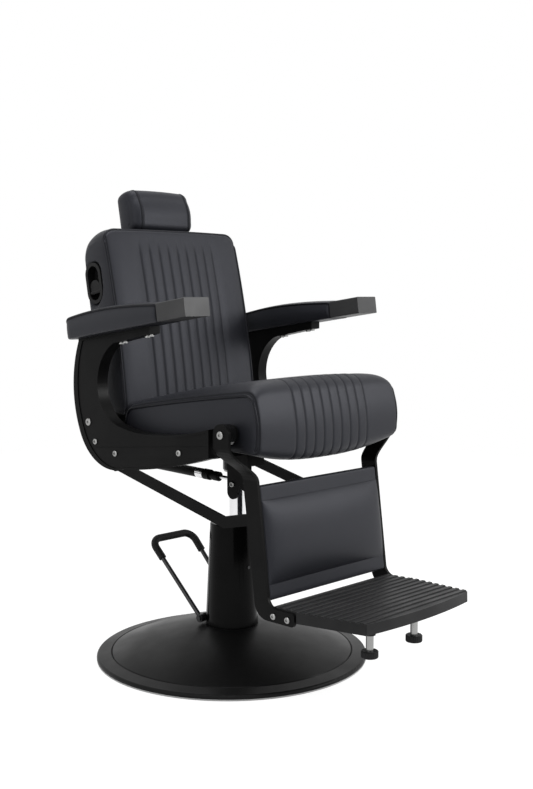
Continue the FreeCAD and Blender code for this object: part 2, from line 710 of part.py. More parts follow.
def pivots():
    """Shoulder bolts of the recline and leg-rest pivots, with their spacers."""
    bolts, spacers = [], []
    tab_in = arm_in_x + LEG_SPACE
    for _, side in SIDES:
        face = arm_out_x - RIM_SINK
        stud = x_bar_on(side, BACK_PIVOT, PIVOT_R, hinge_plate_x, face)
        bolts.append(stud.fuse(button_head(side, BACK_PIVOT, PIVOT_HEAD_R, face)).removeSplitter())
        ring_in = hinge_plate_x + HINGE_PLATE_T + TURN_GAP
        ring = x_bar_on(side, BACK_PIVOT, PIVOT_R + SPACER_WALL, ring_in, side_plate_x)
        spacers.append(ring.cut(x_bar_on(side, BACK_PIVOT, PIVOT_R, 0, arm_out_x)))
        face = tab_in + LEG_ARM_T + TURN_GAP
        pin = x_bar_on(side, LEG_PIVOT, PIVOT_R, side_plate_x, face)
        bolts.append(pin.fuse(button_head(side, LEG_PIVOT, PIVOT_HEAD_R, face)).removeSplitter())
        ring = x_bar_on(side, LEG_PIVOT, SPOOL_R, arm_in_x, tab_in - TURN_GAP)
        spacers.append(ring.cut(x_bar_on(side, LEG_PIVOT, PIVOT_R, 0, arm_out_x)))
    save("pivot_bolts", group(bolts))
    save("pivot_spacers", group(spacers))


def arm_pads():
    """Arm pads with crowned tops and pinched ends, hard arm ends and the screws from below."""
    mid_x = arm_in_x + ARM_T / 2 + PAD_OUT
    half = PAD_W / 2
    ends, screws = [], []

    def section(y, pull, rise):
        w = half - pull
        top = PAD_H - pull + rise
        return Part.Wire(path_edges(
            [(-w + 4.0, 0.0), (w - 4.0, 0.0), ((w - 1.0, 1.4), (w, 5.0)), (w, top - 16.0),
             ((w - 4.0, top - 5.0), (w - 14.0, top - 1.0)), ((0, top + 1.5), (-w + 14.0, top - 1.0)),
             ((-w + 4.0, top - 5.0), (-w, top - 16.0)), (-w, 5.0), ((-w + 1.0, 1.4), (-w + 4.0, 0.0))],
            lambda p: V(p[0], y, p[1])))

    plump = [(0.0, 12.0, 0.5), (0.012, 5.0, 0.62), (0.04, 1.0, 0.7), (0.11, 0.0, 0.8), (0.27, 0.0, 0.95),
             (0.43, 0.0, 1.0), (0.64, 0.0, 0.82), (0.85, 0.0, 0.48), (0.945, 0.0, 0.25),
             (0.98, 1.5, 0.05), (1.0, 4.0, 0.0)]
    stations = [(-PAD_L * run, pull, PAD_CROWN * rise) for run, pull, rise in plump]
    for name, side in SIDES:
        shift = V(side * mid_x, 0, 0)
        pad = loft([section(*s) for s in stations]).translated(V(0, 0, SOFT_GAP))
        pad = on_arm(pad).translated(shift)
        for y in pad_screw_rows():
            z = arm_under(y)
            low = screw_low(y + PAD_SCREW_HEAD_R)
            shank = cylinder(V(side * mid_screw_x(), y, low), Z_AXIS, PAD_SCREW_R, z + PAD_SCREW_IN - low)
            pad = pad.cut(shank)
            head_at = V(side * mid_screw_x(), y, low - PAD_SCREW_HEAD_H)
            head = cylinder(head_at, Z_AXIS, PAD_SCREW_HEAD_R, PAD_SCREW_HEAD_H)
            screws.append(shank.fuse(head).removeSplitter())
        save("arm_pad_" + name, pad)
        end = block(-half, half, -PAD_L - ARM_END_L, -PAD_L, 1.5, 1.5 + ARM_END_H)
        rims = [e for e in end.Edges if abs(e.Vertexes[0].Y - e.Vertexes[-1].Y) > 1.0]
        end = end.makeFillet(3.0, rims)
        ends.append(on_arm(end).translated(shift))
    save("arm_ends", group(ends))
    save("arm_pad_screws", group(screws))


def pad_screw_rows():
    """Y of each arm-pad screw, in close pairs."""
    return [y + step * PAD_SCREW_PITCH for y in PAD_SCREW_Y for step in (-0.5, 0.5)]


def mid_screw_x():
    """Distance of the pad screws from the middle plane."""
    return arm_in_x + ARM_T / 2


def screw_low(y):
    """Underside of the arm frame's bracket at one Y."""
    front, rear = ARM_UNDER_FRONT, ARM_UNDER_REAR
    return front[1] + (rear[1] - front[1]) * (y - front[0]) / (rear[0] - front[0])


def link_outline():
    """Side view of the bent push link."""
    r = LINK_W / 2

    def unit(a, b):
        d = (b[0] - a[0], b[1] - a[1])
        n = math.hypot(*d)
        return (d[0] / n, d[1] / n)

    u, v = unit(LINK_REAR, LINK_BEND), unit(LINK_BEND, LINK_FRONT)
    nu, nv = (-u[1], u[0]), (-v[1], v[0])
    half = math.acos(u[0] * v[0] + u[1] * v[1]) / 2
    m = unit((0, 0), (nu[0] + nv[0], nu[1] + nv[1]))
    reach = r / math.cos(half)

    def off(p, n, d):
        return (p[0] + n[0] * d, p[1] + n[1] * d)

    return [off(LINK_REAR, nu, r), (off(LINK_REAR, u, -r), off(LINK_REAR, nu, -r)),
            off(LINK_BEND, m, -reach), off(LINK_FRONT, nv, -r),
            (off(LINK_FRONT, v, r), off(LINK_FRONT, nv, r)), off(LINK_BEND, m, reach),
            off(LINK_REAR, nu, r)]


def push_links():
    """Bent flat links from back levers to leg-rest arms, with the pins of links and gas spring."""
    rear, front = [], []
    for name, side in SIDES:
        link = plate_on(side, LINK_X, LINK_X + LINK_T, link_outline())
        link = link.cut(x_bar_on(side, LINK_REAR, LINK_PIN_R + RUN_FIT, 0, arm_out_x))
        link = link.cut(x_bar_on(side, LINK_FRONT, LINK_PIN_R + LINK_PIN_PLAY, 0, arm_out_x))
        save("push_link_" + name, link)
        far = hinge_plate_x + HINGE_PLATE_T
        near = LINK_X - SIDE_GAP
        pin = x_bar_on(side, LINK_REAR, LINK_PIN_R, near, far)
        head = x_bar_on(side, LINK_REAR, LINK_PIN_R + PIN_HEAD, near - PIN_HEAD, near)
        rear.append(pin.fuse(head).removeSplitter())
        pin = x_bar_on(side, LINK_FRONT, LINK_PIN_R, near, LEG_ARM_X + LINK_PIN_IN)
        head = x_bar_on(side, LINK_FRONT, LINK_PIN_R + LINK_PIN_PLAY + PIN_HEAD, near - PIN_HEAD, near)
        front.append(pin.fuse(head).removeSplitter())
    ears = gas_ears()
    rear.append(x_bar(GAS_REAR, GAS_PIN_R, ears[0], ears[1] + GAS_EAR_T))
    save("link_rear_pins", group(rear))
    save("link_front_pins", group(front))


def leg_y(z):
    """Front of the leg-rest arms at one height, below the knee."""
    return LEG_TOP[0] + (z - LEG_TOP[1]) * leg_lean


def foot_top(y):
    """Top of the footplate under its ribs at one Y."""
    return FOOT_TOP_Z + (FOOT_REAR_Y - y) * math.tan(math.radians(FOOT_SLOPE))


def leg_rest():
    """Side arms cranked inwards below the pivot, the board between them and the calf pad."""
    ly, lz = LEG_PIVOT
    r, t, w = LEG_TAB_R, LEG_ARM_T, LEG_ARM_W
    tab_in = arm_in_x + LEG_SPACE
    knee_y = leg_y(LEG_KNEE_Z)
    tab = [(ly - r, LEG_TAB_LOW), (ly - r, lz), ((ly, lz + r), (ly + r, lz)), (ly + r, LEG_TAB_LOW),
           (ly - r, LEG_TAB_LOW)]
    tab_top = foot_tab_top()
    tab_low = tab_top - FOOT_TAB_H
    y_end = FOOT_REAR_Y - FOOT_TAB_L
    turn = w * 0.9
    y_low = leg_y(tab_top) + w
    strip = [(knee_y, LEG_KNEE_Z), (leg_y(tab_top + 22.0), tab_top + 22.0),
             ((leg_y(tab_top) - 6.0, tab_top + 7.0), (leg_y(tab_top) - 22.0, tab_top)),
             (y_end + 8.0, tab_top), ((y_end + 2.0, tab_top - 3.0), (y_end, tab_top - 9.0)),
             (y_end, tab_low + 9.0), ((y_end + 2.0, tab_low + 3.0), (y_end + 8.0, tab_low)),
             (y_low - turn, tab_low), ((y_low - turn * 0.3, tab_low + turn * 0.28), (y_low, tab_low + turn)),
             (knee_y + w, LEG_KNEE_Z), (knee_y, LEG_KNEE_Z)]
    bolts = []
    for name, side in SIDES:
        arm = plate_on(side, tab_in, tab_in + t, tab)
        arm = arm.cut(x_bar_on(side, LEG_PIVOT, PIVOT_R + RUN_FIT, 0, BASE_R))
        strip_plate = plate_on(side, LEG_ARM_X, LEG_ARM_X + t, strip)
        sections = []
        for i in range(LEG_CRANK_STEPS + 1):
            u = i / LEG_CRANK_STEPS
            x = tab_in + (LEG_ARM_X - tab_in) * u * u * (3 - 2 * u)
            y = ly - r + (knee_y - ly + r) * u
            z = LEG_TAB_LOW + (LEG_KNEE_Z - LEG_TAB_LOW) * u
            sections.append(level_wire(side * x, side * (x + t), y, y + 2 * r + (w - 2 * r) * u, z))
        arm = arm.fuse([loft(sections), strip_plate]).removeSplitter()
        arm = arm.cut(x_bar_on(side, LINK_FRONT, LINK_PIN_R, LEG_ARM_X, LEG_ARM_X + LINK_PIN_IN))
        for i in range(2):
            at = (y_end + 20.0 + i * FOOT_BOLT_PITCH, tab_low + FOOT_TAB_H * 0.45)
            arm = arm.cut(x_bar_on(side, at, BOLT_R, LEG_ARM_X, LEG_ARM_X + t))
            face = LEG_ARM_X + t
            shank = x_bar_on(side, at, BOLT_R, LEG_ARM_X - FOOT_BOLT_IN, face)
            bolts.append(shank.fuse(button_head(side, at, BOLT_HEAD_R, face)).removeSplitter())
        save("legrest_arm_" + name, arm)
    save("footplate_bolts", group(bolts))
    half = LEG_ARM_X
    top, low = LEG_TOP, LEG_LOW
    panel = side_plate(-half, half, [top, (top[0] + PANEL_T, top[1]), (low[0] + PANEL_T, low[1]), low, top])
    save("leg_panel", panel)
    save("calf_pad", calf_pad())
    save("footplate", footplate(bolts))


def level_wire(x_a, x_b, y_low, y_high, z):
    """Closed level rectangle."""
    corners = [V(x_a, y_low, z), V(x_b, y_low, z), V(x_b, y_high, z), V(x_a, y_high, z), V(x_a, y_low, z)]
    return Part.makePolygon(corners)


def foot_tab_top():
    """Upper edge of the leg arms' forward tabs."""
    return foot_top(FOOT_REAR_Y) - 1.0


def calf_pad():
    """Puffed pad on the front of the leg board, crowned both ways and drawn in at its edges."""
    z_high, z_low = LEG_TOP[1] - CALF_TOP, LEG_LOW[1] + CALF_LOW
    half = LEG_ARM_X - 2.0
    wires = []
    for share, pull in ((-1.0, 9.0), (-0.985, 4.0), (-0.93, 1.0), (-0.5, 0.0), (0.0, -1.5),
                        (0.5, 0.0), (0.93, 1.0), (0.985, 4.0), (1.0, 9.0)):
        x = share * half
        puff = CALF_PUFF - pull * 1.1
        top, low = z_high - pull * 0.5, z_low + pull * 0.5
        mid = (top + low) / 2
        wires.append(side_wire(x, [
            (leg_y(top) - SOFT_GAP, top),
            ((leg_y(top) - puff * 0.45, top - 2.0), (leg_y(top) - puff * 0.75, top - 14.0)),
            ((leg_y(mid) - puff, mid), (leg_y(low) - puff * 0.75, low + 14.0)),
            ((leg_y(low) - puff * 0.45, low + 2.0), (leg_y(low) - SOFT_GAP, low)),
            (leg_y(top) - SOFT_GAP, top)]))
    return loft(wires)


def footplate(bolts):
    """Ribbed plate, narrower at its bowed front, let in beside the arm tabs, with sockets for the feet."""
    half, tuck = FOOT_W / 2, LEG_ARM_X
    rear, front = 0.0, -FOOT_L + FOOT_BOW
    notch = -FOOT_TAB_L - 2.0
    nose, c = FOOT_FRONT_W / 2, FOOT_CORNER
    knee = (nose - c * 0.29, front + c * 0.29)
    outline = [(-tuck, rear), (tuck, rear), (tuck, notch), (half, notch), (nose, front + c),
               (knee, (nose - c, front)), ((0, front - FOOT_BOW), (c - nose, front)),
               ((-knee[0], knee[1]), (-nose, front + c)), (-half, notch), (-tuck, notch), (-tuck, rear)]
    wire = Part.Wire(path_edges(outline, lambda p: V(p[0], p[1], -FOOT_T)))
    plate = Part.Face(wire).extrude(V(0, 0, FOOT_T))
    cutter = Part.Face(wire).extrude(V(0, 0, 2 * FOOT_T))
    pitch = (FOOT_L - FOOT_BOW) / RIBS
    for i in range(RIBS):
        y = rear - (i + 0.5) * pitch
        rib = block(-half, half, y - RIB_W / 2, y + RIB_W / 2, -1.0, RIB_H)
        tops = [e for e in rib.Edges if e.BoundBox.ZMin > RIB_H - 0.1 and e.BoundBox.XLength > half]
        plate = plate.fuse(rib.makeChamfer(RIB_H * 0.6, tops).common(cutter))
    plate = plate.removeSplitter().rotated(ORIGIN, X_AXIS, -FOOT_SLOPE)
    plate = plate.translated(V(0, FOOT_REAR_Y, FOOT_TOP_Z))
    for bolt in bolts:
        plate = plate.cut(bolt)
    under = foot_top(LEVELLER_Y) - FOOT_T
    sockets = []
    for _, side in SIDES:
        at = V(side * LEVELLER_X, LEVELLER_Y, under - SOCKET_H)
        well = cylinder(at, Z_AXIS, LEVELLER_R + RUN_FIT, SOCKET_H + STUD_WELL)
        plate = plate.cut(well)
        tube = cylinder(at, Z_AXIS, LEVELLER_R + SOCKET_WALL, SOCKET_H + FOOT_T).cut(well)
        sockets.append(tube.cut(plate))
    sockets = [max(s.Solids, key=lambda p: p.Volume) for s in sockets]
    save("foot_sockets", group(sockets))
    return plate


def levelling_feet():
    """Screw feet under the footplate: plated stud and black fluted knob."""
    under = foot_top(LEVELLER_Y) - FOOT_T
    for name, side in SIDES:
        at = V(side * LEVELLER_X, LEVELLER_Y, KNOB_Z)
        knob = cylinder(at, Z_AXIS, KNOB_R, KNOB_H)
        knob = knob.makeChamfer(1.5, [e for e in knob.Edges if e.Curve.TypeId == "Part::GeomCircle"])
        for i in range(KNOB_GROOVES):
            a = 2 * math.pi * i / KNOB_GROOVES
            flute = V(math.cos(a), math.sin(a), 0) * (KNOB_R + 0.8)
            knob = knob.cut(cylinder(at + flute, Z_AXIS, 1.8, KNOB_H))
        stud_z = KNOB_Z + KNOB_H
        stud_top = under - SOCKET_H + STUD_IN
        stud = cylinder(at + V(0, 0, KNOB_H), Z_AXIS, LEVELLER_R, stud_top - stud_z)
        save("foot_knob_" + name, knob)
        save("foot_stud_" + name, stud)


def back_structure():
    """Back board, hinge plates with the link levers, and the cross tube with the gas spring's ears."""
    board = back_board()
    near, far = hinge_plate_x, hinge_plate_x + HINGE_PLATE_T
    plates = []
    for _, side in SIDES:
        plate = plate_on(side, near, far, capsule(BACK_PIVOT, LINK_REAR, HINGE_ARM_W / 2, HINGE_PLATE_R))
        ear = block(*sorted((side * near, side * far)), BOARD_DEPTH - HINGE_EAR_FRONT,
                    BOARD_DEPTH + BOARD_T + HINGE_EAR_REAR, BOARD_LOW, BACK_LOW - HINGE_EAR_GAP)
        plate = plate.fuse(on_back(ear)).removeSplitter()
        plate = plate.cut(x_bar_on(side, BACK_PIVOT, PIVOT_R + RUN_FIT, 0, arm_out_x))
        plate = plate.cut(x_bar_on(side, LINK_REAR, LINK_PIN_R, near, far))
        plate = plate.cut(x_bar_on(side, TUBE_AT, TUBE_R, near, far))
        plates.append(plate)
    tube = x_bar(TUBE_AT, TUBE_R, -far, far)
    for at in gas_ears():
        around = capsule(TUBE_AT, GAS_REAR, GAS_PIN_R + GAS_EAR_WALL, TUBE_R + TUBE_EAR_WALL)
        ear = side_plate(at, at + GAS_EAR_T, around)
        tube = tube.fuse(ear.cut(x_bar(GAS_REAR, GAS_PIN_R, at, at + GAS_EAR_T)))
    save("back_board", on_back(board))
    save("back_hinge_plates", group(plates))
    save("back_cross_tube", tube.removeSplitter())


def gas_ears():
    """X of the lower face of each ear that holds the gas spring's rear pin."""
    reach = GAS_EYE_W / 2 + SIDE_GAP
    return [GAS_X - reach - GAS_EAR_T, GAS_X + reach]


def back_board():
    """Upright board inside the back, with a wide foot that reaches the hinge plates."""
    t0, t1 = BOARD_DEPTH, BOARD_DEPTH + BOARD_T
    board = block(-BOARD_W / 2, BOARD_W / 2, t0, t1, BOARD_LOW, BOARD_TOP)
    foot = block(-hinge_plate_x, hinge_plate_x, t0, t1, BOARD_LOW, BACK_LOW - HINGE_EAR_GAP)
    return board.fuse(foot).removeSplitter()


def guide_depth():
    """Depth of the headrest guide's front face: it stands on the back of the board."""
    return BOARD_DEPTH + BOARD_T


def back_cushion():
    """Raked back pad with a crowned face, rounded top, drawn-in sides and sewn channels."""
    half = BACK_W / 2
    wires = []
    for x, groove, pull in channel_sections(BACK_PITCH, half, (8.0, 4.0, 1.0)):
        bow = 1 - (x / half) ** 2
        f = groove + pull * 0.7 - BACK_BULGE * bow
        rear = BACK_T - pull * 0.7 + 4.0 * bow
        over = max(0.0, abs(x) - half + BACK_CORNER)
        top = BACK_H - BACK_CORNER + math.sqrt(BACK_CORNER ** 2 - over ** 2)
        low = BACK_LOW + pull * 0.3
        mid = (top + low) / 2
        wires.append(side_wire(x, [
            (f + 6.0, low), ((f - BACK_CROWN + 4.0, mid), (f + 5.0, top - 42.0)),
            ((f + 10.0 - groove * 0.4, top - 16.0), (f + 26.0 - groove, top - 3.0)),
            ((BACK_T / 2, top + 0.5), (rear - 33.0, top - 10.0)),
            ((rear - 10.0, top - 22.0), (rear, top - 52.0)),
            ((rear + 3.0, mid), (rear - 8.0, low)), (f + 6.0, low)]))
    pad = loft(wires)
    g = SOFT_GAP
    t0, t1 = BOARD_DEPTH - g, BOARD_DEPTH + BOARD_T + g
    pad = pad.cut(block(-BOARD_W / 2 - g, BOARD_W / 2 + g, t0, t1, BOARD_LOW, BOARD_TOP + g))
    t2 = guide_depth() + POST_T + 2 * GUIDE_WALL + g
    w = POST_W / 2 + GUIDE_WALL + g
    pad = pad.cut(block(-w, w, guide_depth() - g, t2, guide_low() - g, BACK_H + 60.0))
    pad = pad.cut(handle_stadium(BEZEL_H + 2 * g, BEZEL_W + 2 * g, half - BEZEL_DEEP - g, half + 20.0))
    save("back_cushion", on_back(pad))


def guide_low():
    """Lower end of the headrest guide on the back."""
    return BACK_H - GUIDE_IN - GUIDE_L


def handle_stadium(height, width, near, far):
    """Upright oval with round ends at the handle's place, between two distances on the right side."""
    depth, level = HANDLE_AT
    r = width / 2
    reach = height / 2 - r
    return side_plate(-far, -near, capsule((depth, level - reach), (depth, level + reach), r))


def release_handle():
    """Oval bezel let into the right side of the back, with a sprung paddle on a pin."""
    depth, level = HANDLE_AT
    face = BACK_W / 2 + BEZEL_PROUD
    bezel = handle_stadium(BEZEL_H, BEZEL_W, face - BEZEL_PROUD - BEZEL_DEEP, face)
    bezel = bezel.cut(handle_stadium(BEZEL_H - 2 * BEZEL_WALL, BEZEL_W - 2 * BEZEL_WALL,
                                     face - BEZEL_PROUD - BEZEL_DEEP + BEZEL_FLOOR, face + 1.0))
    pin_z = level - BEZEL_H / 2 + BEZEL_WALL + PADDLE_PIN_UP
    pin_x = -(face - PADDLE_PIN_IN)
    bore = (BEZEL_W - 2 * BEZEL_WALL) / 2
    pin_end = bore + PADDLE_PIN_GRIP
    pin = cylinder(V(pin_x, depth - pin_end, pin_z), Y_AXIS, PADDLE_PIN_R, 2 * pin_end)
    bezel = bezel.cut(pin)
    w = PADDLE_W / 2
    heel, tip = pin_z - PADDLE_HEEL, pin_z + PADDLE_H
    shoulder = tip - PADDLE_ARCH
    tongue = [(depth - w, heel), (depth + w, heel), (depth + w, shoulder),
              ((depth, tip), (depth - w, shoulder)), (depth - w, heel)]
    paddle = side_plate(pin_x - PADDLE_T / 2, pin_x + PADDLE_T / 2, tongue)
    barrel = cylinder(V(pin_x, depth - w, pin_z), Y_AXIS, PADDLE_PIN_R + PADDLE_BARREL, PADDLE_W)
    paddle = paddle.fuse(barrel).removeSplitter()
    paddle = paddle.cut(cylinder(V(pin_x, depth - 2 * w, pin_z), Y_AXIS, PADDLE_PIN_R + RUN_FIT, 4 * w))
    save("release_bezel", on_back(bezel))
    save("release_paddle", on_back(paddle))
    save("paddle_pin", on_back(pin))


def headrest():
    """Guide on the board, the flat post that slides in it, the cushion and its rear screws."""
    g0 = guide_depth()
    low, high = guide_low(), guide_low() + GUIDE_L
    wide = POST_W / 2 + GUIDE_WALL
    guide = block(-wide, wide, g0, g0 + POST_T + 2 * GUIDE_WALL, low, high)
    play = RUN_FIT
    post_y0, post_y1 = g0 + GUIDE_WALL, g0 + GUIDE_WALL + POST_T
    slot = block(-POST_W / 2 - play, POST_W / 2 + play, post_y0 - play, post_y1 + play, low - 1.0, high + 1.0)
    guide = guide.cut(slot)
    head_low = BACK_H + HEAD_GAP
    plate_low = head_low + HEAD_PLATE_LOW
    post = block(-POST_W / 2, POST_W / 2, post_y0, post_y1, high - POST_IN, head_low + POST_UP)
    plate = block(-HEAD_PLATE_W / 2, HEAD_PLATE_W / 2, post_y0, post_y1, plate_low, head_low + POST_UP)
    post = post.fuse(plate).removeSplitter()
    half, y0 = HEAD_W / 2, HEAD_BACK
    wires = []
    rows = ((half, 9.0), (half - 2.5, 4.0), (half - 9.0, 1.0), (half - 30.0, 0.0))
    rows = [(-x, pull) for x, pull in rows] + [(0.0, -HEAD_CROWN / 2)] + list(reversed(rows))
    for x, pull in rows:
        f, b = y0 + pull, y0 + HEAD_T - pull * 0.8
        z0, z1 = head_low + pull * 0.6, head_low + HEAD_H - pull * 0.8
        mid = (z0 + z1) / 2
        wires.append(side_wire(x, [
            (f + 16.0, z0), ((f + 4.0, z0 + 6.0), (f, z0 + 20.0)),
            ((f - HEAD_CROWN + 3.0, mid), (f + 6.0, z1 - 22.0)),
            ((f + 12.0, z1 - 6.0), (f + 24.0, z1)), ((f + 38.0, z1 + 1.0), (b - 14.0, z1 - 7.0)),
            ((b - 4.0, z1 - 14.0), (b, z1 - 26.0)), (b, z0 + 12.0),
            ((b - 3.0, z0 + 3.0), (b - 12.0, z0)), (f + 16.0, z0)]))
    cushion = loft(wires)
    s = SOFT_GAP
    cushion = cushion.cut(block(-POST_W / 2 - s, POST_W / 2 + s, post_y0 - s, post_y1 + s, head_low - 30.0,
                                head_low + POST_UP + s))
    cushion = cushion.cut(block(-HEAD_PLATE_W / 2 - s, HEAD_PLATE_W / 2 + s, post_y0 - s, post_y1 + s,
                                plate_low - s, head_low + POST_UP + s))
    screws = []
    for _, side in SIDES:
        for i in range(2):
            level = HEAD_SCREW_LOW + i * HEAD_SCREW_PITCH
            at = V(side * (half - HEAD_SCREW_IN), y0 + HEAD_T + 1.0 - HEAD_SCREW_L, head_low + level)
            shank = cylinder(at, Y_AXIS, HEAD_SCREW_R * 0.6, HEAD_SCREW_L)
            cushion = cushion.cut(shank)
            head = cylinder(at + V(0, HEAD_SCREW_L, 0), Y_AXIS, HEAD_SCREW_R, 2.5)
            screws.append(on_back(shank.fuse(head).removeSplitter()))
    save("headrest_guide", on_back(guide))
    save("headrest_post", on_back(post))
    save("headrest_cushion", on_back(cushion))
    save("headrest_screws", group(screws))


def gas_spring():
    """Lockable gas spring from the cross tube to the bracket under the seat."""
    dy, dz = GAS_FRONT[0] - GAS_REAR[0], GAS_FRONT[1] - GAS_REAR[1]
    length = math.hypot(dy, dz)
    way = V(0, dy / length, dz / length)
    start = V(GAS_X, GAS_REAR[0], GAS_REAR[1])
    half = GAS_EYE_W / 2
    eye = x_bar(GAS_REAR, GAS_EYE_R, GAS_X - half, GAS_X + half)
    body = eye.fuse(cylinder(start, way, GAS_R, GAS_BODY_L)).removeSplitter()
    body = body.cut(x_bar(GAS_REAR, GAS_PIN_R + RUN_FIT, GAS_X - BASE_R, GAS_X + BASE_R))
    bore = cylinder(start + way * (GAS_EYE_R + 6.0), way, GAS_ROD_R + RUN_FIT, length)
    ring = cylinder(start + way * GAS_BODY_L, way, GAS_R + 0.4, GAS_RING_L)
    gland_at = GAS_BODY_L + GAS_RING_L
    gland = cylinder(start + way * gland_at, way, GAS_R + 1.0, GAS_GLAND_L * 0.4)
    neck = start + way * (gland_at + GAS_GLAND_L * 0.4)
    nose = start + way * (gland_at + GAS_GLAND_L * 0.65)
    gland = gland.fuse(cylinder(neck, way, GAS_GLAND_R, GAS_GLAND_L * 0.25))
    gland = gland.fuse(cylinder(nose, way, GAS_R - 0.5, GAS_GLAND_L * 0.35))
    rod_start = gland_at + GAS_GLAND_L - GAS_ROD_IN
    rod = cylinder(start + way * rod_start, way, GAS_ROD_R, length - rod_start - ROD_EYE_R * 0.8)
    reach = ROD_SLOT_REACH
    side = ROD_EYE_W / 2
    low, high = (GAS_FRONT[0], GAS_FRONT[1] - reach), (GAS_FRONT[0], GAS_FRONT[1] + reach)
    outer = capsule(low, high, ROD_EYE_R)
    slot = capsule(low, high, ROD_PIN_R + ROD_PIN_PLAY)
    rod = rod.fuse(side_plate(GAS_X - side, GAS_X + side, outer))
    rod = rod.cut(side_plate(GAS_X - side, GAS_X + side, slot)).removeSplitter()
    save("gas_cylinder", body.cut(bore))
    save("gas_ring", ring.cut(bore))
    save("gas_gland", gland.removeSplitter().cut(bore))
    save("gas_rod", rod)


def release_bracket():
    """Plate under the seat frame that holds the gas spring's rod pin."""
    outer = GAS_X - ROD_EYE_W / 2 - BRACKET_GAP
    y, z = GAS_FRONT
    by, bz = BRACKET_BOLT
    high = SEAT_Z - MOUNT_T / math.cos(math.radians(SEAT_TILT))

    def under(at_y):
        return high - at_y * tilt_tan

    lobe = BRACKET_LOBE
    front = y - lobe
    rear = by + lobe
    plate = side_plate(outer - BRACKET_T, outer, [
        (front, under(front)), (front, z), ((y, z - lobe), (y + lobe, z - 4.0)),
        (by - lobe, BRACKET_LOW + lobe), ((by, BRACKET_LOW), (rear, BRACKET_LOW + lobe)),
        (rear, under(rear)), (front, under(front))])
    plate = plate.cut(x_bar(BRACKET_BOLT, BOLT_R, -BASE_R, 0)).cut(x_bar(GAS_FRONT, ROD_PIN_R, -BASE_R, 0))
    face = outer - BRACKET_T
    bolt = x_bar(BRACKET_BOLT, BOLT_R, face, outer)
    bolt = bolt.fuse(button_head(-1, BRACKET_BOLT, BOLT_HEAD_R, -face)).removeSplitter()
    inner = GAS_X + ROD_EYE_W / 2 + 2 * SIDE_GAP
    pin = x_bar(GAS_FRONT, ROD_PIN_R, face, inner)
    pin = pin.fuse(x_bar(GAS_FRONT, ROD_PIN_R + 2 * ROD_PIN_PLAY, inner, inner + PIN_HEAD)).removeSplitter()
    save("release_bracket", plate)
    save("release_bolts", group([bolt, pin]))


def build():
    """Write every piece of the chair."""
    os.makedirs("parts", exist_ok=True)
    domed_base()
    column()
    pump()
    pump_lever()
    seat_platform()
    seat_cushion()
    arm_frames()
    pivots()
    arm_pads()
    push_links()
    leg_rest()
    levelling_feet()
    back_structure()
    back_cushion()
    release_handle()
    headrest()
    gas_spring()
    release_bracket()


build()
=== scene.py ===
import bpy
import json
import math
import numpy as np
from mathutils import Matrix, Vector


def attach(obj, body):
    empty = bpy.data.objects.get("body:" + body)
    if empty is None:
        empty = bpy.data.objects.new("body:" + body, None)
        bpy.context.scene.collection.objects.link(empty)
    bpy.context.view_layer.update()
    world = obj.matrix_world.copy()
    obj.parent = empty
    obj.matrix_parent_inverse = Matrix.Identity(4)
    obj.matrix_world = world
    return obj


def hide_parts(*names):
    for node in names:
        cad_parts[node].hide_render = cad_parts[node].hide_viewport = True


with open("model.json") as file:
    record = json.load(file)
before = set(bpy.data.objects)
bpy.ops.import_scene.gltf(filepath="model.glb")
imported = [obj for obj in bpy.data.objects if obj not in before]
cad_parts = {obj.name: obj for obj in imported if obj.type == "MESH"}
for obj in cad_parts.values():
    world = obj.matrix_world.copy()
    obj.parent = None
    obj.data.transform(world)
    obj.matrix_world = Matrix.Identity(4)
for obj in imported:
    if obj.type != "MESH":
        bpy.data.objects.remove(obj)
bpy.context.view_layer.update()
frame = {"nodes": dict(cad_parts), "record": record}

MM = 0.001
scene = bpy.context.scene
scene.view_settings.view_transform = "Standard"
nodes = frame["nodes"]

# Sizes of the upholstery, repeated from the part's source, in millimetres and degrees.
SEAT_TILT, SEAT_Z, SEAT_HALF = 8.0, 532.0, 248.0
BACK_RAKE, BACK_Y, BACK_Z, BACK_HALF = 10.7, 142.0, 660.0, 228.0
HEAD_HALF = 103.0
ARM_SLOPE, ARM_Y, ARM_Z, ARM_MID_X, ARM_LENGTH = 8.0, 246.0, 822.0, 300.0, 357.0
LEG_TOP_Y, LEG_TOP_Z, LEG_LOW_Z = -306.0, 504.0, 246.0
LEG_LEAN = 33.0 / (LEG_TOP_Z - LEG_LOW_Z)
HANDLE_DEPTH, HANDLE_HEIGHT, HANDLE_REACH = 64.0, 321.0, 22.0

# Sewing: channel lines, side seams, the headrest's seam and welt, and piping, in millimetres.
CHANNELS, PITCH = 9, 31.6
SEWN_ZONE = CHANNELS / 2 * PITCH
CHANNEL_WIDTH, CHANNEL_SINK, CHANNEL_SWELL = 2.2, 1.8, 0.6
SEAM_IN, SEAM_WIDTH = 4.0, 2.0
HEAD_SEAM_X, HEAD_SEAM_WIDTH, HEAD_SEAM_SINK, HEAD_WELT_X = 77.0, 1.2, 0.7, 82.0
CORD_STEP, SEAT_CORD, BACK_CORD, HEAD_CORD, ARM_CORD = 4.0, 3.3, 3.0, 0.9, 2.8
SEAT_CORD_OUT = 0.6

# Shares of a line's full depth: where it is held while the pad swells, and how dark its painted shade is
# drawn.
LINE_HELD, FACE_HELD, HEAD_SEAM_HELD = 0.75, 0.2, 0.4
CHANNEL_SHADE, HEAD_SEAM_SHADE = 0.6, 0.7

# Painted shade beside piping: its distance from the piping and its width, in samples, on the headrest in
# millimetres.
SHADE_GAP, BACK_SHADE_WIDTH, ARM_SHADE_WIDTH = 1.2, 0.7, 0.6
HEAD_SHADE_GAP, HEAD_SHADE_WIDTH = 2.2, 1.0

# In a fold or beside a seam: the colour of the painted shade that it darkens to, and what its full depth adds
# to the roughness.
FOLD_SHADE_COLOUR, CREASE_MATT = (0.001, 0.001, 0.001), 0.6

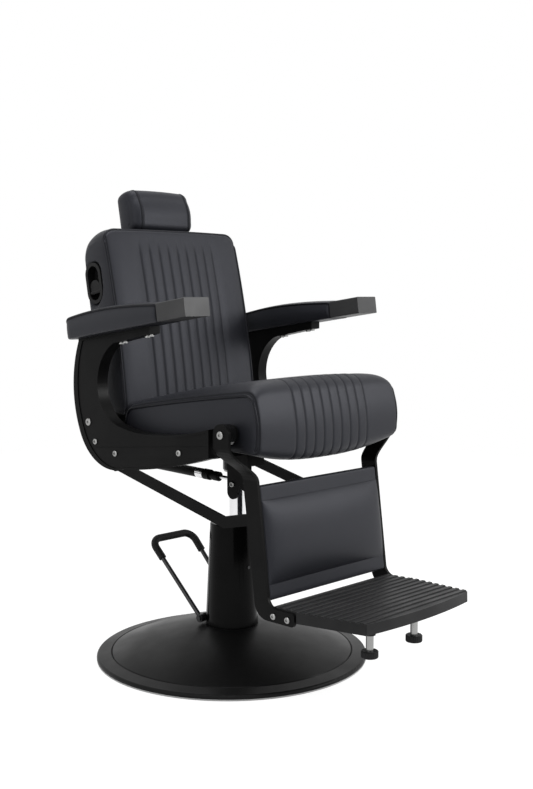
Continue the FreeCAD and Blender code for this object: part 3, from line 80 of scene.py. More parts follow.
# Pressure that swells the pads, in the cloth solver's units.
PRESSURE = 4.0


def stand(y, z, turn, y0, z0):
    """Turn local (y, z) arrays back by an angle about X, then move them to their place."""
    a = math.radians(turn)
    return y * math.cos(a) + z * math.sin(a) + y0, z * math.cos(a) - y * math.sin(a) + z0


def bend(start, via, end, count):
    """Points on the circle through three points, from start towards end, end left out.

    All three are (rows, 2) arrays; the centre solves the two bisector equations row by row.
    """
    a, b, c = start, via, end
    d = 2 * (a[:, 0] * (b[:, 1] - c[:, 1]) + b[:, 0] * (c[:, 1] - a[:, 1]) + c[:, 0] * (a[:, 1] - b[:, 1]))
    d = np.where(np.abs(d) < 1e-6, 1e-6, d)
    aa, bb, cc = (a ** 2).sum(1), (b ** 2).sum(1), (c ** 2).sum(1)
    ux = (aa * (b[:, 1] - c[:, 1]) + bb * (c[:, 1] - a[:, 1]) + cc * (a[:, 1] - b[:, 1])) / d
    uy = (aa * (c[:, 0] - b[:, 0]) + bb * (a[:, 0] - c[:, 0]) + cc * (b[:, 0] - a[:, 0])) / d
    centre = np.stack([ux, uy], 1)
    ang = [np.arctan2(p[:, 1] - uy, p[:, 0] - ux) for p in (a, b, c)]
    to_b = np.mod(ang[1] - ang[0], 2 * np.pi)
    to_c = np.mod(ang[2] - ang[0], 2 * np.pi)
    sweep = np.where(to_b < to_c, to_c, to_c - 2 * np.pi)
    t = np.arange(count) / count
    theta = ang[0][:, None] + sweep[:, None] * t
    radius = np.sqrt(((a - centre) ** 2).sum(1))[:, None, None]
    return centre[:, None, :] + radius * np.stack([np.cos(theta), np.sin(theta)], -1)


def outline(steps, rows):
    """Closed side outline for every row: straight runs and arcs through given points.

    Each step is (point, count) for a run or (via, point, count) for an arc; the coordinates are
    numbers or arrays over the rows. Gives (rows, samples, 2) and the sample index of each step.
    """
    def full(p):
        return np.stack([np.broadcast_to(np.asarray(v, float), (rows,)) for v in p], 1)

    last = full(steps[0][0])
    parts, marks, total = [], [0], 0
    for step in steps[1:]:
        goal, count = full(step[-2]), step[-1]
        if len(step) == 3:
            parts.append(bend(last, full(step[0]), goal, count))
        else:
            t = (np.arange(count) / count)[None, :, None]
            parts.append(last[:, None, :] * (1 - t) + goal[:, None, :] * t)
        last = goal
        total += count
        marks.append(total)
    return np.concatenate(parts, 1), marks


def soften(loop, times):
    """Round an outline: each point moves to the quarter-half-quarter mean with its neighbours."""
    for _ in range(times):
        loop = 0.5 * loop + 0.25 * (np.roll(loop, 1, 1) + np.roll(loop, -1, 1))
    return loop


def capped(sections, rows, bulge, along=0):
    """Faces and points of a tube of closed sections with both ends filled.

    Each end joins the first half of its loop to the second by straight lines, bulged by the
    product of two half sine waves to the power 0.6 along one axis; the sample count has to be even.
    """
    count, n, _ = sections.shape
    half = n // 2
    index = np.arange(count * n).reshape(count, n)
    points = [sections.reshape(-1, 3)]
    a, b = index[:-1], index[1:]
    quads = [np.stack([a, b, np.roll(b, -1, 1), np.roll(a, -1, 1)], -1).reshape(-1, 4)]
    tris = []
    total = count * n
    for end, sign in ((0, -1.0), (count - 1, 1.0)):
        loop = index[end]
        first, second = loop[:half + 1], np.roll(loop[::-1], 1)[:half + 1]
        t = np.arange(1, rows) / rows
        pa, pb = sections[end][first - end * n], sections[end][second - end * n]
        inner = pa[1:-1, None, :] * (1 - t)[None, :, None] + pb[1:-1, None, :] * t[None, :, None]
        across = np.sin(np.pi * np.arange(1, half) / half)[:, None] ** 0.6
        inner[:, :, along] += sign * bulge * across * np.sin(np.pi * t)[None, :] ** 0.6
        grid = np.concatenate([first[1:-1, None],
                               total + np.arange((half - 1) * (rows - 1)).reshape(half - 1, rows - 1),
                               second[1:-1, None]], 1)
        total += (half - 1) * (rows - 1)
        points.append(inner.reshape(-1, 3))
        q = np.stack([grid[:-1, :-1], grid[:-1, 1:], grid[1:, 1:], grid[1:, :-1]], -1).reshape(-1, 4)
        tip0 = np.stack([np.full(rows, first[0]), grid[0, 1:], grid[0, :-1]], -1)
        tip1 = np.stack([np.full(rows, first[-1]), grid[-1, :-1], grid[-1, 1:]], -1)
        tip = np.concatenate([tip0, tip1])
        if sign > 0:
            q, tip = q[:, ::-1], tip[:, ::-1]
        quads.append(q[:, ::-1])
        tris.append(tip)
    return np.concatenate(points), np.concatenate(quads), np.concatenate(tris)


def put(name, points, quads, tris=None):
    """Make a smooth-shaded object at the origin from point and face arrays, faces turned outwards.

    Outwards is where the summed signed volume of the faces is positive.
    """
    tris = np.zeros((0, 3), int) if tris is None else tris
    fan = np.concatenate([quads[:, [0, 1, 2]], quads[:, [0, 2, 3]], tris])
    p = points[fan]
    if np.einsum("ij,ij->i", p[:, 0], np.cross(p[:, 1], p[:, 2])).sum() < 0:
        quads, tris = quads[:, ::-1], tris[:, ::-1]
    mesh = bpy.data.meshes.new(name)
    mesh.from_pydata(points.tolist(), [], quads.tolist() + tris.tolist())
    mesh.polygons.foreach_set("use_smooth", np.ones(len(mesh.polygons), bool))
    mesh.update()
    obj = bpy.data.objects.new(name, mesh)
    scene.collection.objects.link(obj)
    return obj


def coords(obj):
    """Points of an object's mesh as an array."""
    out = np.empty(len(obj.data.vertices) * 3)
    obj.data.vertices.foreach_get("co", out)
    return out.reshape(-1, 3)


def swell(obj, held, shape, cap, ease, frames=20):
    """Blow a pad up as cloth under pressure with its sewn lines held, then keep the result.

    Every grid point's move is cut to a longest length, the cap, and evened out with its neighbours,
    ease times along each grid direction; held points and the end panels stay.
    """
    rest = coords(obj)
    count = shape[0] * shape[1]
    held = np.unique(np.concatenate([held, np.arange(count, len(rest))]))
    group = obj.vertex_groups.new(name="sewn")
    group.add([int(i) for i in held], 1.0, "REPLACE")
    cloth = obj.modifiers.new("swell", "CLOTH")
    s = cloth.settings
    s.quality = 6
    s.mass = 0.3
    s.use_pressure = True
    s.uniform_pressure_force = PRESSURE
    s.vertex_group_mass = "sewn"
    s.pin_stiffness = 1.0
    s.tension_stiffness = s.compression_stiffness = 20.0
    s.shear_stiffness = 10.0
    s.bending_stiffness = 4.0
    s.effector_weights.gravity = 0.0
    cloth.collision_settings.use_collision = False
    cloth.point_cache.frame_start, cloth.point_cache.frame_end = 1, frames
    for f in range(1, frames + 1):
        scene.frame_set(f)
    got = obj.evaluated_get(bpy.context.evaluated_depsgraph_get())
    moved = np.empty(rest.size)
    got.data.vertices.foreach_get("co", moved)
    move = moved.reshape(-1, 3) - rest
    length = np.linalg.norm(move, axis=1, keepdims=True)
    move *= np.minimum(1.0, cap * MM / np.maximum(length, 1e-9))
    grid = move[:count].reshape(*shape, 3)
    for _ in range(ease[0]):
        grid[1:-1] = 0.5 * grid[1:-1] + 0.25 * (grid[2:] + grid[:-2])
    for _ in range(ease[1]):
        grid = 0.5 * grid + 0.25 * (np.roll(grid, 1, 1) + np.roll(grid, -1, 1))
    move[:count] = grid.reshape(-1, 3)
    move[held] = 0.0
    obj.modifiers.remove(cloth)
    obj.vertex_groups.remove(group)
    scene.frame_set(1)
    obj.data.vertices.foreach_set("co", (rest + move).ravel())
    obj.data.update()


def mark_fold_shade(obj, folds):
    """Store the painted shade of the grid points, from 0 to 1, by how deep in a fold or beside a seam they
    lie; the ends get 0.
    """
    values = np.zeros(len(obj.data.vertices))
    values[:folds.size] = np.clip(folds, 0, 1).ravel()
    obj.data.attributes.new("fold_shade", "FLOAT", "POINT").data.foreach_set("value", values)


def smooth_once(obj):
    """One level of subdivision, the same on screen and in the render."""
    sub = obj.modifiers.new("round", "SUBSURF")
    sub.levels = sub.render_levels = 1


def cord_of(path, radius, sides=10):
    """Round piping along a path: at every point a circle square to the path's direction.

    One direction across is the normal of the plane that lies closest to the path; both ends are
    drawn in to 0.55 of the radius.
    """
    t = np.gradient(path, axis=0)
    t /= np.linalg.norm(t, axis=1, keepdims=True)
    flat = np.linalg.svd(path - path.mean(0), full_matrices=False)[2][2]
    n1 = np.cross(t, flat)
    n1 /= np.linalg.norm(n1, axis=1, keepdims=True)
    n2 = np.cross(t, n1)
    a = 2 * np.pi * np.arange(sides) / sides
    r = np.full(len(path), radius)
    r[0] = r[-1] = radius * 0.55
    ring = n1[:, None, :] * np.cos(a)[None, :, None] + n2[:, None, :] * np.sin(a)[None, :, None]
    return capped(path[:, None, :] + ring * r[:, None, None], rows=3, bulge=0.0)


def even(path, step):
    """Points at an even spacing along a path, by its running length."""
    run = np.concatenate([[0], np.cumsum(np.linalg.norm(np.diff(path, axis=0), axis=1))])
    at = np.linspace(0, run[-1], max(int(run[-1] / step), 4))
    return np.stack([np.interp(at, run, path[:, i]) for i in range(3)], 1)


def columns(half, zone, fine, coarse, edge):
    """Column positions across a pad: fine in the sewn zone, coarser outside, closing up at the edges."""
    inner = np.linspace(-zone, zone, int(round(2 * zone / fine)) + 1)
    edge = np.asarray(edge, float)
    side = np.linspace(zone, half - edge[0], max(int((half - edge[0] - zone) / coarse), 1) + 1)[1:]
    right = np.concatenate([side, half - edge[1:]])
    return np.concatenate([-right[::-1], inner, right])


def bell(gap, width):
    """Bell curve of a distance: e to the minus square of its share of a width."""
    return np.exp(-(gap / width) ** 2)


def drawn_in(gap, reach, depth):
    """How far a pad is drawn in near its edge: a quarter circle over the reach before it."""
    return depth * (1 - np.sqrt(1 - np.clip(1 - gap / reach, 0, 1) ** 2))


def sewn_depth(x):
    """Depth share of the sewn channel lines at x: one narrow bell for each line."""
    lines = (np.arange(CHANNELS) - (CHANNELS - 1) / 2) * PITCH
    return bell(x[:, None] - lines[None, :], CHANNEL_WIDTH).max(1)


def pillow(x):
    """Swell between the channel lines: the root of a half sine wave in every channel, none outside."""
    wave = np.sqrt(np.abs(np.sin(np.pi * x / PITCH)))
    return np.where(np.abs(x) < (CHANNELS - 1) / 2 * PITCH, wave, 0.0)


def outward(sections):
    """Unit normals of a tube of closed sections from its two grid directions, turned outwards."""
    du = np.gradient(sections, axis=0)
    dv = np.roll(sections, -1, 1) - np.roll(sections, 1, 1)
    n = np.cross(du, dv)
    n /= np.maximum(np.linalg.norm(n, axis=2, keepdims=True), 1e-12)
    mid = sections.mean(1, keepdims=True)
    sign = np.sign((n * (sections - mid)).sum())
    return n * sign


def channelled(sections, x, face):
    """Sink the channel lines and swell the strips between them, along the normals, where a face has them."""
    depth = (CHANNEL_SWELL * pillow(x) - CHANNEL_SINK * sewn_depth(x))[:, None] * face[None, :]
    return sections + outward(sections) * depth[..., None]


def carried(x, y, z):
    """Sections (columns, samples, 3) from one x for every column and two grids."""
    return np.stack([np.broadcast_to(x[:, None], y.shape), y, z], -1)


def seat_shape():
    """Seat pad: a closed side outline carried across, crowned, with channels over top and front.

    Height adds a parabola and a steep twelfth-power swell across, less of both towards the rear;
    the roll's lower edge bows down in the middle; each channel line sinks by a bell.
    """
    half, nose = SEAT_HALF, 46.0
    x = columns(half, SEWN_ZONE, PITCH / 10, 6.0, (24, 19, 14.5, 10.5, 7, 4, 1.8, 0))
    share = np.abs(x / half)
    gap = half - np.abs(x)
    pull = drawn_in(gap, 10, 5.0)
    crown = 10.0 * (1 - share ** 2) + 20.0 * (1 - share ** 12)
    rise, dip = crown - pull, crown * 0.4
    run, drop = nose - 20.0 * share ** 4, nose - 18.0 * share ** 4
    toe, hem = nose - 22.0 * share ** 4, 34.0 - 14.0 * share ** 4
    under, top = 32.3, 140.3
    front, rear = -352.0 + pull, 116.0 - pull
    roll = under - 57.0 + pull + 28.5 * share ** 2.5
    lip = -248.0
    loop, marks = outline([
        ((rear - 8, under),),
        ((rear, under + 54), (rear - 10, top - 24 + rise - dip), 14),
        ((rear - 18, top - 7 + rise - dip), (rear - 36, top + rise - dip), 7),
        (((front + rear) / 2, top + 3 + rise - dip * 0.3), (front + run, top + rise), 46),
        ((front + run * 0.29, top - drop * 0.29 + rise), (front, top - drop + rise), 12),
        ((front - 4, (top + roll + rise) / 2), (front + 3, roll + hem), 14),
        ((front + toe * 0.32, roll + hem * 0.28), (front + toe, roll), 10),
        ((lip, roll + 12), 8), ((lip, under), 5), ((rear - 8, under), 48)], len(x))
    loop = soften(loop, 2)
    s = carried(x, *stand(loop[..., 0], loop[..., 1], SEAT_TILT, 0.0, SEAT_Z))
    i = np.arange(loop.shape[1])
    face = np.clip((i - marks[1] + 6) / 6, 0, 1) * np.clip((marks[6] + 1 - i) / 5, 0, 1)
    return x, channelled(s, x, face), marks, face


def back_shape():
    """Back pad: a closed side outline carried across with a bowed face and round top corners.

    The top drops by a quarter ellipse at the corners, the underside falls towards the front and the
    channel lines fade out below the top.
    """
    half, height, corner, reach = BACK_HALF, 452.0, 28.0, 36.0
    x = columns(half, SEWN_ZONE, PITCH / 10, 6.0, (36, 31, 26, 21.5, 17, 13, 9.5, 6.5, 4, 2, 0.8, 0))
    gap = half - np.abs(x)
    pull = drawn_in(gap, 18, 8.0)
    bow = 1 - (x / half) ** 2
    front = -3.0 + pull * 0.3 - 9.0 * bow
    rear = 99.0 - pull * 0.7 + 3.0 * bow
    over = np.clip(1 - gap / reach, 0, 1)
    top = height - corner + corner * np.sqrt(1 - over ** 2)
    low, toe = -3.0 + pull * 0.3, -28.0 + pull * 0.3
    mid = (top + low) / 2
    loop, marks = outline([
        ((front + 8, toe),),
        ((front - 4, mid), (front + 3.5, top - 14), 54),
        ((front + 6.3, top - 6.4), (front + 12.5, top - 1.2), 12),
        ((48, top + 1), (rear - 24, top - 8), 8),
        ((rear - 8, top - 20), (rear, top - 46), 12),
        ((rear + 3, mid), (rear - 8, low), 48), ((front + 8, toe), 14)], len(x))
    loop = soften(loop, 3)
    s = carried(x, *stand(loop[..., 0], loop[..., 1], BACK_RAKE, BACK_Y, BACK_Z))
    i = np.arange(loop.shape[1])
    face = np.clip((i + 2) / 4, 0, 1) * np.clip((marks[1] - 2 - i) / 4, 0, 1)
    return x, channelled(s, x, face), marks, face


def head_shape():
    """Headrest pad: a closed side outline carried across, its ends drawn in on a wide quarter circle.

    A parabola across swells the middle; the roundings shrink with the thickness that is left, k.
    """
    half, y0, thick, tall, foot = HEAD_HALF, 20.0, 72.0, 110.0, 457.0
    x = columns(half, 72.0, 4.0, 1.6, (23, 21, 19, 17, 14.5, 12, 9.5, 7, 5, 3.2, 1.8, 0.8, 0.2, 0))
    gap = half - np.abs(x)
    pull = drawn_in(gap, 21, 22.0) - 4.0 * (1 - (x / half) ** 2)
    front, rear = y0 + pull, y0 + thick - pull * 0.45
    low, high = foot + pull * 0.7, foot + tall - pull * 0.55
    mid, k = (low + high) / 2, (rear - front) / thick
    loop, marks = outline([
        ((front + 20 * k, low),),
        ((front + 5 * k, low + 7), (front, low + 24), 8),
        ((front - 3, mid), (front + 6 * k, high - 22), 16),
        ((front + 12 * k, high - 6), (front + 24 * k, high), 9),
        ((front + 36 * k, high + 1), (rear - 12 * k, high - 3.5), 7),
        ((rear - 3.5 * k, high - 8), (rear, high - 18), 8),
        ((rear, low + 12), 16),
        ((rear - 3 * k, low + 3), (rear - 12 * k, low), 6),
        ((front + 20 * k, low), 10)], len(x))
    loop = soften(loop, 2)
    return x, carried(x, *stand(loop[..., 0], loop[..., 1], BACK_RAKE, BACK_Y, BACK_Z)), marks


def arm_shape(side):
    """Arm pad: a box section with a crowned top carried along the arm.

    The section shrinks by a quarter circle at the rear end and by a square at the front end; the top
    rises along part of a half sine wave, and arcs bulge the sides.
    """
    length, half, tall = ARM_LENGTH, 37.5, 46.0
    y = -np.concatenate([[0, 0.8, 2.5, 5, 8.5, 13, 19], np.linspace(27, length - 12, 44),
                         [length - 7, length - 3, length]])
    rear = np.clip(1 + y / 24, 0, 1)
    nose = np.clip(1 - (length + y) / 8, 0, 1)
    pull = 15.0 * (1 - np.sqrt(1 - rear ** 2)) + 4.5 * nose ** 2
    side_out = 2.5 * (1 - rear) * (1 - nose)
    rise = 16.0 * np.sin(np.pi * (0.16 + 0.84 * np.clip(-y / length, 0, 1)) ** 0.95)
    w, t = half - pull, tall - pull + rise
    loop, marks = outline([
        ((-w + 4, 0),), ((w - 4, 0), 12), ((w - 1, 1.4), (w, 5), 3), ((w + side_out, t / 2), (w, t - 14), 6),
        ((w - 3, t - 5), (w - 11, t - 1.5), 6), ((0, t + 1.5), (-w + 11, t - 1.5), 12),
        ((-w + 3, t - 5), (-w, t - 14), 6), ((-w - side_out, t / 2), (-w, 5), 6),
        ((-w + 1, 1.4), (-w + 4, 0), 3)], len(y))
    loop = soften(loop, 1)
    s = np.empty(loop.shape[:2] + (3,))
    s[..., 0] = loop[..., 0] + side * ARM_MID_X
    s[..., 1], s[..., 2] = stand(np.broadcast_to(y[:, None], loop.shape[:2]), loop[..., 1] + 0.3,
                                 ARM_SLOPE, ARM_Y, ARM_Z)
    return y, s, marks


def leg_line(z):
    """Y of the leg rest's front face at a height."""
    return LEG_TOP_Y + (z - LEG_TOP_Z) * LEG_LEAN


def calf_shape():
    """Calf pad: a flat back and a swollen front carried across, drawn in at every edge.

    The swell falls off across by the root of one minus a ninth power, and up and down by a power of
    one minus a power. Gives the sections, with an even number of samples, and how many of these lie
    on the front.
    """
    half, high, low = 206.0, 471.0, 281.0
    x = columns(half, 160.0, 8.0, 6.0, (26, 20, 15, 11, 7.5, 5, 3, 1.5, 0.5, 0))
    puff = 15.0 * np.sqrt(1 - np.abs(x / half) ** 9) * (0.9 + 0.1 * (1 - (x / half) ** 2))
    v = (1 - np.cos(np.pi * np.linspace(0, 1, 45))) / 2
    z = high + (low - high) * v
    swell_of = (1 - np.abs(2 * v - 1) ** 3.4) ** 0.75
    front = leg_line(z)[None, :] - 0.3 - puff[:, None] * swell_of[None, :]
    rear_z = z[::-3][1:-1]
    loop = np.empty((len(x), len(z) + len(rear_z), 2))
    loop[:, :len(z), 0], loop[:, :len(z), 1] = front, z[None, :]
    loop[:, len(z):, 0], loop[:, len(z):, 1] = leg_line(rear_z) + 0.6, rear_z
    loop = loop[:, :loop.shape[1] // 2 * 2]
    return carried(x, loop[..., 0], loop[..., 1]), len(z)


def board_shape():
    """Leg board: a thin upright slab with round edges carried across between the leg arms."""
    half, thick = 207.6, 16.0
    x = columns(half, 190.0, 19.0, 8.0, (6, 4, 2.4, 1.2, 0.4, 0))
    gap = half - np.abs(x)
    pull = drawn_in(gap, 4, 3.0)
    high, low, r = LEG_TOP_Z - pull, LEG_LOW_Z + pull, 5.0
    c = r * 0.3
    front_top, front_low = leg_line(high) + pull, leg_line(low) + pull
    rear_top, rear_low = leg_line(high) + thick - pull, leg_line(low) + thick - pull
    loop, _ = outline([
        ((front_top, high - r),), ((front_low, low + r), 30),
        ((front_low + c, low + c), (front_low + r, low), 5), ((rear_low - r, low), 3),
        ((rear_low - c, low + c), (rear_low, low + r), 5), ((rear_top, high - r), 30),
        ((rear_top - c, high - c), (rear_top - r, high), 5), ((front_top + r, high), 3),
        ((front_top + c, high - c), (front_top, high - r), 5)], len(x))
    return carried(x, loop[..., 0], loop[..., 1])


def group_of(name, inputs, outputs, fill):
    """A shader node group with named value, vector and colour sockets, built once."""
    g = bpy.data.node_groups.new(name, "ShaderNodeTree")
    for label, kind, value in inputs:
        socket = g.interface.new_socket(label, in_out="INPUT", socket_type=kind)
        if value is not None:
            socket.default_value = value
    for label, kind in outputs:
        g.interface.new_socket(label, in_out="OUTPUT", socket_type=kind)
    fill(g, g.nodes.new("NodeGroupInput"), g.nodes.new("NodeGroupOutput"))
    return g


def vector_node(tree, kind, a, b):
    """One Vector Math node on a socket and another socket, a constant vector or a scale."""
    n = tree.nodes.new("ShaderNodeVectorMath")
    n.operation = kind
    tree.links.new(a, n.inputs[0])
    if kind == "SCALE":
        n.inputs["Scale"].default_value = b
    elif isinstance(b, tuple):
        n.inputs[1].default_value = b
    else:
        tree.links.new(b, n.inputs[1])
    return n.outputs[0]


def math_node(tree, kind, a, b=None, clamp=False):
    """One Math node from sockets or numbers."""
    n = tree.nodes.new("ShaderNodeMath")
    n.operation, n.use_clamp = kind, clamp
    for i, v in enumerate((a, b)):
        if v is None:
            continue
        if isinstance(v, (int, float)):
            n.inputs[i].default_value = v
        else:
            tree.links.new(v, n.inputs[i])
    return n.outputs[0]


def remap(tree, value, low, high, to_low, to_high):
    """Map Range node with clamping."""
    n = tree.nodes.new("ShaderNodeMapRange")
    tree.links.new(value, n.inputs[0])
    for i, v in enumerate((low, high, to_low, to_high)):
        n.inputs[i + 1].default_value = v
    return n.outputs[0]


def texture(tree, kind, vector, scale, detail=2.0, **more):
    """Noise or Voronoi texture on a vector."""
    n = tree.nodes.new("ShaderNodeTex" + kind)
    for key, value in more.items():
        setattr(n, key, value)
    tree.links.new(vector, n.inputs["Vector"])
    if isinstance(scale, (int, float)):
        n.inputs["Scale"].default_value = scale
    else:
        tree.links.new(scale, n.inputs["Scale"])
    if kind == "Noise":
        n.inputs["Detail"].default_value = detail
    return n


def fill_hide(g, gin, gout):
    """Pebbled hide: small cells with creases between them, broken by noise, and a slow tone drift."""
    v, scale = gin.outputs["Vector"], gin.outputs["Scale"]
    warp = texture(g, "Noise", v, math_node(g, "MULTIPLY", scale, 0.35), 3.0)
    moved = vector_node(g, "ADD", v, vector_node(g, "SCALE", warp.outputs["Color"], 0.0016))
    cell = texture(g, "Voronoi", moved, scale, feature="DISTANCE_TO_EDGE")
    big = texture(g, "Voronoi", moved, math_node(g, "MULTIPLY", scale, 0.42), feature="F1")
    pebble = remap(g, cell.outputs["Distance"], 0.0, 0.28, 0.0, 1.0)
    slow = texture(g, "Noise", v, 7.0, 3.0)
    height = math_node(g, "ADD", math_node(g, "MULTIPLY", pebble, 0.7),
                       math_node(g, "MULTIPLY", big.outputs["Distance"], 0.3))
    g.links.new(height, gout.inputs["Height"])
    g.links.new(pebble, gout.inputs["Pebble"])
    g.links.new(slow.outputs["Fac"], gout.inputs["Drift"])


def fill_coat(g, gin, gout):
    """Sprayed coat: a fine orange-peel height, a speckle, and slow smears of handling."""
    v, scale = gin.outputs["Vector"], gin.outputs["Scale"]
    peel = texture(g, "Noise", v, scale, 2.0)
    speck = texture(g, "Voronoi", v, math_node(g, "MULTIPLY", scale, 1.6), feature="F1")
    smear = texture(g, "Noise", v, 11.0, 5.0)
    height = math_node(g, "ADD", peel.outputs["Fac"],
                       math_node(g, "MULTIPLY", speck.outputs["Distance"], 0.35))
    g.links.new(height, gout.inputs["Height"])
    g.links.new(speck.outputs["Distance"], gout.inputs["Speckle"])
    g.links.new(remap(g, smear.outputs["Fac"], 0.38, 0.68, 0.0, 1.0), gout.inputs["Smear"])


def fill_bright(g, gin, gout):
    """Bare or plated metal: long fine scratches along one axis and a slow cloud."""
    v, scale = gin.outputs["Vector"], gin.outputs["Scale"]
    fine = texture(g, "Noise", vector_node(g, "MULTIPLY", v, (1.0, 1.0, 0.06)), scale, 4.0)
    cloud = texture(g, "Noise", v, 18.0, 3.0)
    g.links.new(fine.outputs["Fac"], gout.inputs["Height"])
    g.links.new(remap(g, fine.outputs["Fac"], 0.35, 0.65, 0.0, 1.0), gout.inputs["Scratch"])
    g.links.new(cloud.outputs["Fac"], gout.inputs["Cloud"])


VEC = [("Vector", "NodeSocketVector", None), ("Scale", "NodeSocketFloat", 500.0)]
FLOAT = "NodeSocketFloat"
hide = group_of("hide_grain", VEC, [("Height", FLOAT), ("Pebble", FLOAT), ("Drift", FLOAT)], fill_hide)
coat = group_of("sprayed_coat", VEC, [("Height", FLOAT), ("Speckle", FLOAT), ("Smear", FLOAT)], fill_coat)
bright = group_of("bright_metal", VEC, [("Height", FLOAT), ("Scratch", FLOAT), ("Cloud", FLOAT)], fill_bright)


def colour_mix(tree, share, a, b):
    """Mix node from colour a to colour b, each a socket or three numbers; gives its colour socket."""
    n = tree.nodes.new("ShaderNodeMix")
    n.data_type = "RGBA"
    tree.links.new(share, n.inputs[0])
    sockets = [i for i in n.inputs if i.type == "RGBA"]
    for socket, value in zip(sockets, (a, b)):
        if isinstance(value, tuple):
            socket.default_value = (*value, 1)
        else:
            tree.links.new(value, socket)
    return [o for o in n.outputs if o.type == "RGBA"][0]


def finish_of(name, group, scale, colours, mask, rough, rough_mask, bump, metallic=0.0, specular=0.5,
              fold_shade=0.0, tint=(1.0, 1.0, 1.0)):
    """A material from one surface group: two colours by one mask, roughness by another, bump from height.

    Where the pad's stored fold shade is high, the colour darkens by the given share towards a painted shade
    colour, and the roughness rises.
    """
    m = bpy.data.materials.new(name)
    m.use_nodes = True
    t = m.node_tree
    shader = t.nodes["Principled BSDF"]
    where = t.nodes.new("ShaderNodeTexCoord")
    g = t.nodes.new("ShaderNodeGroup")
    g.node_tree = group
    g.inputs["Scale"].default_value = scale
    t.links.new(where.outputs["Object"], g.inputs["Vector"])
    colour = colour_mix(t, g.outputs[mask], *colours)
    rough_at = remap(t, g.outputs[rough_mask], 0.0, 1.0, rough[0], rough[1])
    shader.inputs["Specular IOR Level"].default_value = specular
    shader.inputs["Specular Tint"].default_value = (*tint, 1)
    # Painted shade: darken the colour in folds and beside seams by the stored value.
    if fold_shade:
        fold = t.nodes.new("ShaderNodeAttribute")
        fold.attribute_name = "fold_shade"
        depth = fold.outputs["Fac"]
        colour = colour_mix(t, math_node(t, "MULTIPLY", depth, fold_shade), colour, FOLD_SHADE_COLOUR)
        matt = math_node(t, "MULTIPLY", depth, CREASE_MATT * fold_shade)
        rough_at = math_node(t, "ADD", rough_at, matt, clamp=True)
    t.links.new(colour, shader.inputs["Base Color"])
    t.links.new(rough_at, shader.inputs["Roughness"])
    b = t.nodes.new("ShaderNodeBump")
    b.inputs["Strength"].default_value = bump[0]
    b.inputs["Distance"].default_value = bump[1]
    t.links.new(g.outputs["Height"], b.inputs["Height"])
    t.links.new(b.outputs[0], shader.inputs["Normal"])
    shader.inputs["Metallic"].default_value = metallic
    return m


LEATHER_TINT = (0.88, 0.90, 1.0)
looks = {
    # The leather darkens by painted shade in its folds and beside its seams.
    "black_leather": finish_of(
        "black_leather", hide, 620.0, ((0.0112, 0.0117, 0.0148), (0.0175, 0.0182, 0.0225)),
        "Drift", (0.48, 0.40), "Pebble", (0.22, 0.0006), specular=0.26, fold_shade=0.8, tint=LEATHER_TINT),
    # The piping's colours are about half the leather's: painted shade along the cord.
    "piping": finish_of(
        "piping", hide, 900.0, ((0.005, 0.0052, 0.0066), (0.008, 0.0083, 0.0104)),
        "Drift", (0.42, 0.34), "Pebble", (0.12, 0.0004), specular=0.18, tint=LEATHER_TINT),
    "cast_weight": finish_of(
        "cast_weight", coat, 420.0, ((0.05, 0.05, 0.052), (0.09, 0.085, 0.08)),
        "Smear", (0.75, 0.62), "Speckle", (0.5, 0.0012)),
    "plywood": finish_of(
        "plywood", bright, 140.0, ((0.009, 0.008, 0.0075), (0.018, 0.0155, 0.014)),
        "Scratch", (0.62, 0.74), "Scratch", (0.2, 0.0005)),
}

# Painted and moulded: grain per metre, two colours, roughness, bump strength and depth, specular level.
painted = {
    "arm_black": (1400.0, (0.0035, 0.0035, 0.0036), (0.006, 0.006, 0.006),
                  (0.40, 0.32), (0.12, 0.0004), 0.07),
    "frame_black": (1500.0, (0.0035, 0.0035, 0.0036), (0.006, 0.006, 0.006),
                    (0.46, 0.36), (0.12, 0.0004), 0.07),
    "spool_black": (900.0, (0.004, 0.004, 0.004), (0.007, 0.007, 0.007),
                    (0.14, 0.10), (0.04, 0.0003), 0.60),
    "handle_black": (1700.0, (0.006, 0.006, 0.0065), (0.010, 0.010, 0.0105),
                     (0.50, 0.40), (0.15, 0.0004), 0.16),
    "base_black": (1100.0, (0.007, 0.007, 0.0072), (0.011, 0.011, 0.0112),
                   (0.42, 0.34), (0.10, 0.0004), 0.10),
    "column_gloss": (260.0, (0.003, 0.003, 0.003), (0.005, 0.005, 0.005),
                     (0.20, 0.13), (0.05, 0.0006), 0.06),
    "grip_rubber": (800.0, (0.007, 0.007, 0.007), (0.011, 0.011, 0.011),
                    (0.60, 0.50), (0.3, 0.0006), 0.16),
    "black_plastic": (1700.0, (0.012, 0.012, 0.0126), (0.019, 0.019, 0.0196),
                      (0.52, 0.42), (0.18, 0.0004), 0.18),
    "socket_black": (1300.0, (0.007, 0.007, 0.007), (0.011, 0.011, 0.011),
                     (0.55, 0.45), (0.12, 0.0004), 0.16),
    "arm_end_grey": (1900.0, (0.040, 0.040, 0.041), (0.052, 0.052, 0.053),
                     (0.50, 0.42), (0.15, 0.0004), 0.30),
    "clear_plastic": (700.0, (0.52, 0.52, 0.52), (0.62, 0.62, 0.62),
                      (0.30, 0.24), (0.05, 0.0003), 0.5),
}
for name, (scale, dark, pale, rough, bump, specular) in painted.items():
    looks[name] = finish_of(name, coat, scale, (dark, pale), "Smear", rough, "Smear", bump,
                            specular=specular)

